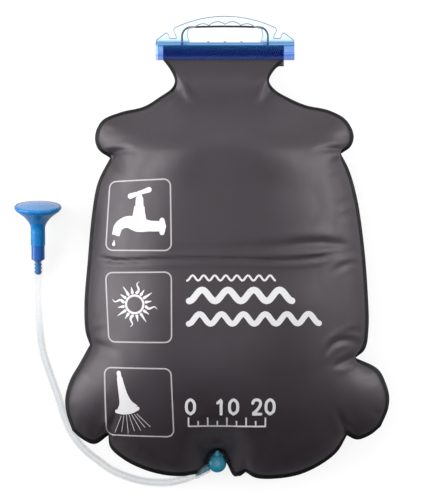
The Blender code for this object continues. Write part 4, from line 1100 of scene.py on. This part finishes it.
def film(name, side, fine, folds, seed):
    """One film of the bag, from its welded edge to the mouth folded over the rod."""
    chain, inner, grid = film_grid(side, fine)
    height, edge_height = film_heights(side, chain, inner, grid, folds, seed)
    rows, columns = height.shape
    vertices = [(*place, z) for place, z in zip(grid.reshape(-1, 2), height.ravel())]
    body = np.arange(rows * columns).reshape(rows, columns).tolist()
    edge = list(range(len(vertices), len(vertices) + len(chain)))
    vertices += [(*place, z) for place, z in zip(chain, edge_height)]
    rim = [row[0] for row in body[::-1]] + body[0][1:] + [row[-1] for row in body[1:]]

    last = [edge[0], *body[-1], edge[-1]]
    mouth_x = np.array([vertices[index][0] for index in last])
    radius = FOLD_RADIUS + (FILM_PITCH if side > 0 else 0)
    layer = FILM_PITCH * (1 + side / 2)
    tail = [(MOUTH_Y - tail_length(mouth_x) * share, RAIL_Z - layer) for share in TAIL_SHARES]
    strip = [last]
    for y_row, z_row in fold_path(radius, layer) + tail:
        strip.append(list(range(len(vertices), len(vertices) + len(last))))
        vertices += [(x, y, z_row) for x, y in zip(mouth_x, np.broadcast_to(y_row, mouth_x.shape))]

    weld_faces, strip_faces = quads([edge, rim]), quads(strip)
    mesh = mesh_of(name, vertices, weld_faces + quads(body) + strip_faces)
    obj = add(name, mesh, LOOKS["film"], LOOKS["weld"], LOOKS["fold"])
    # Slot 1, the weld's dark look, is painted shade: besides the weld itself it covers the first ring of the
    # film's own cells along the seam, where the film turns steeply down.
    plain, weld, fold = 0, 1, 2
    finishes = [weld] * len(weld_faces) + [weld] * (columns - 1)
    finishes += [weld, *[plain] * (columns - 3), weld] * (rows - 2)
    out_of_rail = (len(tail) + 1) * (len(last) - 1)
    finishes += [fold] * (len(strip_faces) - out_of_rail) + [plain] * out_of_rail
    mesh.polygons.foreach_set("material_index", finishes)
    mesh.shade_smooth()
    thickened(obj, FILM)
    return obj


def films():
    front = film("front_film", 1, FRONT_FINE, fold_lines(FRONT_FOLDS), FRONT_SEED)
    join(front, "bag", "front_panel")
    back = film("back_film", -1, BACK_FINE, [], BACK_SEED)
    join(back, "bag", "back_panel")
    return front


# Print on the front film, in pixels of the photograph. Knots are (x, y, width of the band)

FRAMES = [
    [(111, 182.5), (171.5, 180.5), (172.5, 250.5), (107, 250.3)],
    [(107, 272.3), (172.5, 271.5), (172.8, 340.2), (110.3, 340.6)],
    [(105.8, 366), (172, 366), (174.5, 434.5), (107, 434)],
]
FRAME_ROUND = 6.5
FRAME_LINE = 1.35
TAP_SPOUT = [(163, 226.8, 10), (152, 226.6, 10.5), (140, 225, 14.5), (129, 222.5, 11.5),
             (120.5, 226.5, 9), (117.2, 235.5, 7.8)]
TAP_FLANGE = [(163.4, 221, 5.0), (163.6, 227, 7.6), (163.4, 233, 5.0)]
TAP_BODY = [(140.5, 222, 15.5), (140.7, 213, 11.5), (141, 207, 10)]
TAP_NUT = [(141, 207.3, 8.2), (141, 200, 7.4)]
TAP_SPINDLE = [(141, 200, 4.6), (141.2, 194, 4.6)]
TAP_HANDLE = [(132, 197, 5.4), (141.2, 194, 3.4), (150.4, 191, 5.4)]
TAP_DROP = [(115.6, 240.4, 0.6), (115.4, 242.4, 2.0), (115.2, 244.4, 3.2)]
SUN = (136.4, 303.2)
SUN_RADIUS = 8.7
SUN_LINE = 2.1
RAYS = 16
RAY_START = 11.6
RAY_ENDS = (22.5, 17, 20.5, 17)
RAY_WIDTHS = (2.9, 0.5)
RAY_SWAY = 0.09
RAY_STEPS = 8
SHOWER_PIPE = [(120.2, 371, 4.2), (121, 376, 4.2)]
SHOWER_BELL = [(121, 375.5, 5.4), (122.6, 384, 6.8), (124.6, 393, 8.8), (126.6, 400, 12), (128.4, 406.4, 22)]
SHOWER_FACE = [(118.2, 409.6, 4), (123.5, 409.2, 7), (128.6, 408.4, 8), (133.7, 407.4, 7), (138.6, 406.2, 4)]
# The jets of the spray lean more and more to the right. Their x and y start from the first number,
# and each whole lean adds the second. So does the way they go, as pixels across for one down
SPRAYS = 7
SPRAY_STARTS = ((127.6, 10.5), (413.4, -1.6))
SPRAY_WAY = (0.08, 0.95)
SPRAY_REACHES = (18, 16.5)
SPRAY_LINE = 0.7
# Each line of waves: its left end, right end, middle, height, wavelength and weight
WATER = [(188, 274, 277.2, 2.6, 10.75, 2.0), (190, 290.5, 294.2, 5.4, 25.1, 6.4),
         (189.5, 317, 317, 4.8, 21.25, 5.6)]
WATER_STEP = 0.7
SCALE_LEFT = 189
SCALE_RIGHT = 264.5
SCALE_Y = 423.6
SCALE_LINE = 1.6
MARKS = 9
MARK_TOPS = (414.5, 418)
MARK_FOOT = 423
MARK_LINE = 1.5
NUMBERS = ((191, "0"), (226.75, "10"), (262.5, "20"))
NUMBER_Y = 411
NUMBER_HEIGHT = 14.5
NUMBER_LINE = 2.9
DIGIT_WIDTH = 0.56
DIGIT_SPACE = 1.7
DIGITS = {
    "0": [(0.5, 0), (0.1, 0.18), (0, 0.5), (0.1, 0.82), (0.5, 1), (0.9, 0.82), (1, 0.5), (0.9, 0.18),
          (0.5, 0)],
    "1": [(0.2, 0.78), (0.45, 0.9), (0.6, 1), (0.6, 0.5), (0.6, 0)],
    "2": [(0.02, 0.76), (0.16, 0.94), (0.5, 1), (0.86, 0.92), (0.96, 0.72), (0.8, 0.48), (0.4, 0.2), (0, 0),
          (0.5, 0), (1, 0)],
}


class Print:
    """Ink bands laid on a film, each a little above the last, in one mesh."""

    def __init__(self, film_piece):
        self.tree = BVHTree.FromObject(film_piece, bpy.context.evaluated_depsgraph_get())
        self.vertices, self.faces, self.inks, self.level = [], [], [], INK_LIFT

    def laid(self, x, y):
        """The film's place at x and y, lifted to the level of the band."""
        place, normal, _, _ = self.tree.ray_cast((x, y, 1), (0, 0, -1))
        return tuple(place + normal * self.level)

    def band(self, points, widths, closed=False, round_ends=True, thin=False):
        """A band of ink along the points, with one width or a width for each point."""
        points = np.array([at(*point) for point in points])
        widths = np.broadcast_to(np.asarray(widths, float) * PIXEL, len(points))
        line = np.column_stack([points, widths])
        if closed:
            line = np.vstack([line, line[:1]])
        length = np.linalg.norm(np.diff(points, axis=0), axis=1).sum()
        line = even(line, max(2, math.ceil(length / INK_STEP)))
        if round_ends and not closed:
            line = np.vstack([self.cap(line[0], line[1])[::-1], line, self.cap(line[-1], line[-2])])
        steps = np.gradient(line[:, :2], axis=0)
        if closed:
            steps[0] = steps[-1] = line[1, :2] - line[-2, :2]
        steps /= np.linalg.norm(steps, axis=1)[:, None]
        columns = max(2, math.ceil(widths.max() / INK_STEP) + 1)
        rows = []
        for (x, y, width), (along_x, along_y) in zip(line, steps):
            rows.append(range(len(self.vertices), len(self.vertices) + columns))
            for share in np.linspace(-0.5, 0.5, columns):
                self.vertices.append(self.laid(x - along_y * width * share, y + along_x * width * share))
        faces = quads(rows)
        self.faces += faces
        self.inks += [int(thin)] * len(faces)
        self.level += INK_LAYER

    def stroke(self, knots, curved=False, round_ends=True):
        """A straight or curved band through knots of (x, y, width)."""
        points = [knot[:2] for knot in knots]
        widths = [knot[2] for knot in knots]
        if curved:
            points, widths = through(points), through([(width, 0) for width in widths])[:, 0]
        self.band(points, widths, round_ends=round_ends)

    @staticmethod
    def cap(end, before):
        """Places past the end of a band that round it off."""
        away = end[:2] - before[:2]
        away = away / np.linalg.norm(away)
        shares = np.array([0.38, 0.70, 0.92, 0.99])
        places = end[:2] + np.outer(shares, away) * end[2] / 2
        return np.column_stack([places, end[2] * np.sqrt(1 - shares**2)])

    def number(self, text, middle, low, height, weight):
        width = height * DIGIT_WIDTH
        pitch = width + weight * DIGIT_SPACE
        for index, digit in enumerate(text):
            left = middle + (index - (len(text) - 1) / 2) * pitch - width / 2
            shape = through([(left + width * x, low - height * y) for x, y in DIGITS[digit]], 4)
            self.band(shape, weight)

    def piece(self, name):
        mesh = mesh_of(name, self.vertices, self.faces)
        mesh.polygons.foreach_set("material_index", self.inks)
        obj = add(name, mesh, LOOKS["ink"], LOOKS["thin ink"])
        thickened(obj, INK_THICKNESS)
        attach(obj, "bag")


def print_sun(ink):
    ink.band(circle(*SUN, SUN_RADIUS), SUN_LINE, closed=True)
    for ray in range(RAYS):
        angle = math.tau * (ray + 0.5) / RAYS
        kind = ray % len(RAY_ENDS)
        sway = RAY_SWAY if kind == 0 else 0
        points = []
        for share in np.linspace(0, 1, RAY_STEPS + 1):
            radius = RAY_START + (RAY_ENDS[kind] - RAY_START) * share
            turn = angle + sway * math.sin(math.tau * share)
            points.append((SUN[0] + radius * math.cos(turn), SUN[1] + radius * math.sin(turn)))
        ink.band(points, np.linspace(*RAY_WIDTHS, len(points)))


def print_shower(ink):
    ink.stroke(SHOWER_PIPE)
    ink.stroke(SHOWER_BELL, curved=True, round_ends=False)
    ink.stroke(SHOWER_FACE)
    for index in range(SPRAYS):
        lean = (index - 2) / 4
        x, y = (middle + step * lean for middle, step in SPRAY_STARTS)
        way = Vector((SPRAY_WAY[0] + SPRAY_WAY[1] * lean, 1.0)).normalized() * SPRAY_REACHES[index % 2]
        ink.band([(x, y), (x + way.x, y + way.y)], SPRAY_LINE, thin=True)


def print_scale(ink):
    """A scale of how full the bag is."""
    ink.band([(SCALE_LEFT, SCALE_Y), (SCALE_RIGHT, SCALE_Y)], SCALE_LINE)
    for mark in range(MARKS):
        x = SCALE_LEFT + mark * (SCALE_RIGHT - SCALE_LEFT) / (MARKS - 1)
        ink.band([(x, MARK_FOOT), (x, MARK_TOPS[mark % 2])], MARK_LINE, round_ends=False)
    for middle, value in NUMBERS:
        ink.number(value, middle, NUMBER_Y, NUMBER_HEIGHT, NUMBER_LINE)


def printed(film_piece):
    ink = Print(film_piece)
    for corners in FRAMES:
        ink.band(rounded(corners, FRAME_ROUND, 8), FRAME_LINE, closed=True, thin=True)
    ink.stroke(TAP_SPOUT, curved=True, round_ends=False)
    ink.stroke(TAP_FLANGE)
    ink.stroke(TAP_BODY, round_ends=False)
    for knots in (TAP_NUT, TAP_SPINDLE, TAP_HANDLE, TAP_DROP):
        ink.stroke(knots)
    print_sun(ink)
    print_shower(ink)
    for left, right, middle, height, length, weight in WATER:
        ink.band([(x, middle + height * math.cos(math.tau * (x - left) / length))
                  for x in np.arange(left, right + 0.01, WATER_STEP)], weight)
    print_scale(ink)
    ink.piece("printed_marks")


# Hanger, rail and bail

def hanger_outline():
    """A crown with finger scallops under it, on two feet that each hook round a cord notch."""
    radius = (CROWN_HALF**2 + CROWN_DROP**2) / (2 * CROWN_DROP)
    crown = []
    for step in range(CROWN_STEPS):
        x = CROWN_HALF * step / CROWN_STEPS
        crown.append((x, HANGER_RISE - radius + math.sqrt(radius**2 - x**2), 0))
    notch = CROWN_HALF - NOTCH_UNDERCUT
    hook_tip = HANGER_HALF - HOOK_SETBACK
    hook = [(CROWN_HALF, HANGER_RISE - CROWN_DROP),
            (CROWN_HALF + HANGER_FILLET, HOOK_HEIGHT + 2 * HANGER_FILLET),
            (notch, NOTCH_FLOOR + HANGER_FILLET), (notch, NOTCH_FLOOR),
            (notch + NOTCH_WIDTH, NOTCH_FLOOR), (hook_tip - HOOK_LIP, HOOK_HEIGHT - HOOK_LIP),
            (hook_tip, HOOK_HEIGHT), (HANGER_HALF, FOOT_EDGE), (HANGER_HALF, 0, 0)]
    inner = [(OPENING_HALF - OPENING_LEAN, 0, 0), (OPENING_HALF, FINGER_TOP / 3, OPENING_LEAN),
             (OPENING_HALF - OPENING_LEAN / 2, FINGER_TOP * 2 / 3, OPENING_LEAN)]
    chord = (OPENING_HALF - FINGER_MARGIN) / FINGERS
    bend = (chord**2 + FINGER_DEPTH**2) / (2 * FINGER_DEPTH)
    scallops = []
    for finger in range(FINGERS // 2):
        middle = chord * (FINGERS - 1 - 2 * finger)
        for step in range(1, SCALLOP_STEPS + 1):
            x = chord * (1 - 2 * step / SCALLOP_STEPS)
            drop = bend - math.sqrt(bend**2 - x**2)
            tip = step == SCALLOP_STEPS
            scallops.append((middle + x, FINGER_TOP - drop - (middle + x) ** 2 / (2 * radius),
                             HANGER_FILLET / 2 if tip else 0))
    right = [*crown[1:], *hook, *inner, *scallops]
    left = [(-x, *rest) for x, *rest in right[-2::-1]]
    return rounded([crown[0], *right, *left], HANGER_FILLET, 3)


def wire(name, points, radius, material, cyclic=False):
    """A round wire through the points, as a curve with closed ends."""
    data = bpy.data.curves.new(name, "CURVE")
    data.dimensions = "3D"
    data.bevel_depth = radius
    data.bevel_resolution = 5
    data.use_fill_caps = True
    spline = data.splines.new("POLY")
    spline.points.add(len(points) - 1)
    for point, place in zip(spline.points, points):
        point.co = (*place, 1)
    spline.use_cyclic_u = cyclic
    spline.use_smooth = True
    data.materials.append(material)
    return placed(name, data)


def wire_bail():
    """The wire whose feet turn inwards into the rail's lugs."""
    foot = BAIL_HALF - BAIL_FOOT
    bar = [(BAIL_HALF * s, BAIL_RISE + BAIL_BOW * (1 - s**2)) for s in BAIL_BAR_SHARES]
    corners = [(-foot, 0), (-BAIL_HALF, 0), (-BAIL_HALF, BAIL_RISE), *bar,
               (BAIL_HALF, BAIL_RISE), (BAIL_HALF, 0), (foot, 0)]
    radii = [0, BAIL_FOOT_BEND, BAIL_BEND, *[0] * len(bar), BAIL_BEND, BAIL_FOOT_BEND, 0]
    path = []
    for index, (corner, radius) in enumerate(zip(corners, radii)):
        if radius == 0:
            path.append(corner)
        else:
            bend = rounded([corners[index - 1], (*corner, radius), corners[index + 1]], 0, BEND_STEPS)
            path += bend[1:-1]
    places = [(RAIL_X + x, BAIL_Y + y, BAIL_Z) for x, y in path]
    join(wire("bail_wire", places, BAIL_WIRE, LOOKS["wire"]), "bail", "wire_bail")


def hanger_rims():
    """The raised bead along the edges of the hanger's faces. Its grey, half-clear finish is painted shade:
    the dark outline that the clear plate's edges show.
    """
    for name, side in (("front", 1), ("back", -1)):
        level = RAIL_Z + side * (HANGER_PLATE / 2 - RIM_BEAD * RIM_BEAD_SHARE)
        places = [(RAIL_X + x, RAIL_TOP + GAP + max(y, RIM_BEAD), level) for x, y in hanger_outline()]
        join(wire(f"hanger_rim_{name}", places, RIM_BEAD, LOOKS["edge"], True), "rail")


# Stage and light

WHITE = (1, 1, 1, 1)
FLOOR_HALF = 4
FLOOR_LEVEL = -0.0006
FLOOR_COLOUR = (0.28, 0.28, 0.283, 1)
FLOOR_GLOW = 0.77
# How bright the floor is in reflections, and the sky as a light: low and high, and where along Y
FLOOR_MIRRORED = (0.01, 0.80, -0.35, 0.45)
SKY_LIGHT = (0.02, 0.58, -0.95, -0.10)
# Each lamp's name, place, target, width, height and power
LAMPS = [
    ("top softbox", (0.0, 1.6, 2.4), (0, 0.05, 0), 2.6, 1.7, 6),
    ("far softbox", (0.0, 2.5, 1.2), (0, 0.20, 0.05), 2.8, 2.0, 17),
    ("overhead softbox", (0.0, -0.5, 4.2), (0, 0, 0), 2.4, 2.6, 23),
    ("right softbox", (2.0, 0.75, 0.9), (0, 0.05, 0.05), 1.6, 1.8, 34),
    ("left softbox", (-2.0, 0.38, 0.8), (0, 0.05, 0.05), 2.0, 1.8, 60),
]


def camera_white(tree, strength, others):
    """A number that is strength for rays that show the background and others for rays that light.

    The outputs that tell the rays apart come with it."""
    rays = node(tree, "LightPath", {}).outputs
    shown = reckoned(tree, "MAXIMUM", rays["Is Camera Ray"], rays["Is Transmission Ray"])
    return spread(tree, shown, others, strength, 0, 1, "LINEAR"), rays


def set_stage():
    corners = [(x * FLOOR_HALF, y * FLOOR_HALF, FLOOR_LEVEL) for x, y in ((-1, -1), (1, -1), (1, 1), (-1, 1))]
    made = bpy.data.materials.new("pale floor")
    made.use_nodes = True
    tree = made.node_tree
    tree.nodes.clear()
    strength, rays = camera_white(tree, FLOOR_GLOW, 0.0)
    falloff = spread(tree, own_y(tree), *FLOOR_MIRRORED, "LINEAR")
    shown = reckoned(tree, "MULTIPLY_ADD", rays["Is Glossy Ray"], falloff, strength)
    diffuse = node(tree, "BsdfDiffuse", {"Color": FLOOR_COLOUR})
    glow = node(tree, "Emission", {"Color": WHITE, "Strength": shown})
    both = node(tree, "AddShader", {0: diffuse.outputs[0], 1: glow.outputs[0]})
    node(tree, "OutputMaterial", {"Surface": both.outputs[0]})
    add("floor", mesh_of("floor", corners, [(0, 1, 2, 3)]), made)

    world = bpy.data.worlds.new("studio")
    bpy.context.scene.world = world
    world.use_nodes = True
    tree = world.node_tree
    ray = node(tree, "TexCoord", {}).outputs["Generated"]
    sky = spread(tree, node(tree, "SeparateXYZ", {0: ray}).outputs["Y"], *SKY_LIGHT, "LINEAR")
    background = tree.nodes["Background"].inputs
    feed(tree, background["Color"], WHITE)
    feed(tree, background["Strength"], camera_white(tree, 1.0, sky)[0])


def softbox(name, place, target, width, height, power):
    data = bpy.data.lights.new(name, "AREA")
    data.shape = "RECTANGLE"
    data.size = width
    data.size_y = height
    data.energy = power
    placed(name, data).matrix_world = aimed(place, Vector(place) - Vector(target))


def set_lights():
    for lamp in LAMPS:
        softbox(*lamp)
    bpy.context.scene.view_settings.view_transform = "Standard"


# Model parts that keep their shape

NODE_LOOKS = {
    "clamp_rail": "rail", "hanger_handle": "clear", "fold_rod": "rod", "outlet_spout": "outlet",
    "outlet_elbow": "outlet", "valve_stem": "stem", "outlet_washer": "seal", "stem_o_ring": "seal",
    "valve_seal": "seal", "valve_collar": "collar",
}


def dress_nodes():
    for name, finish in NODE_LOOKS.items():
        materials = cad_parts[name].data.materials
        materials.clear()
        materials.append(LOOKS[finish])


set_camera()
hose()
shower_head()
stem_barbs()
set_stage()
set_lights()
printed(films())
wire_bail()
hanger_rims()
dress_nodes()
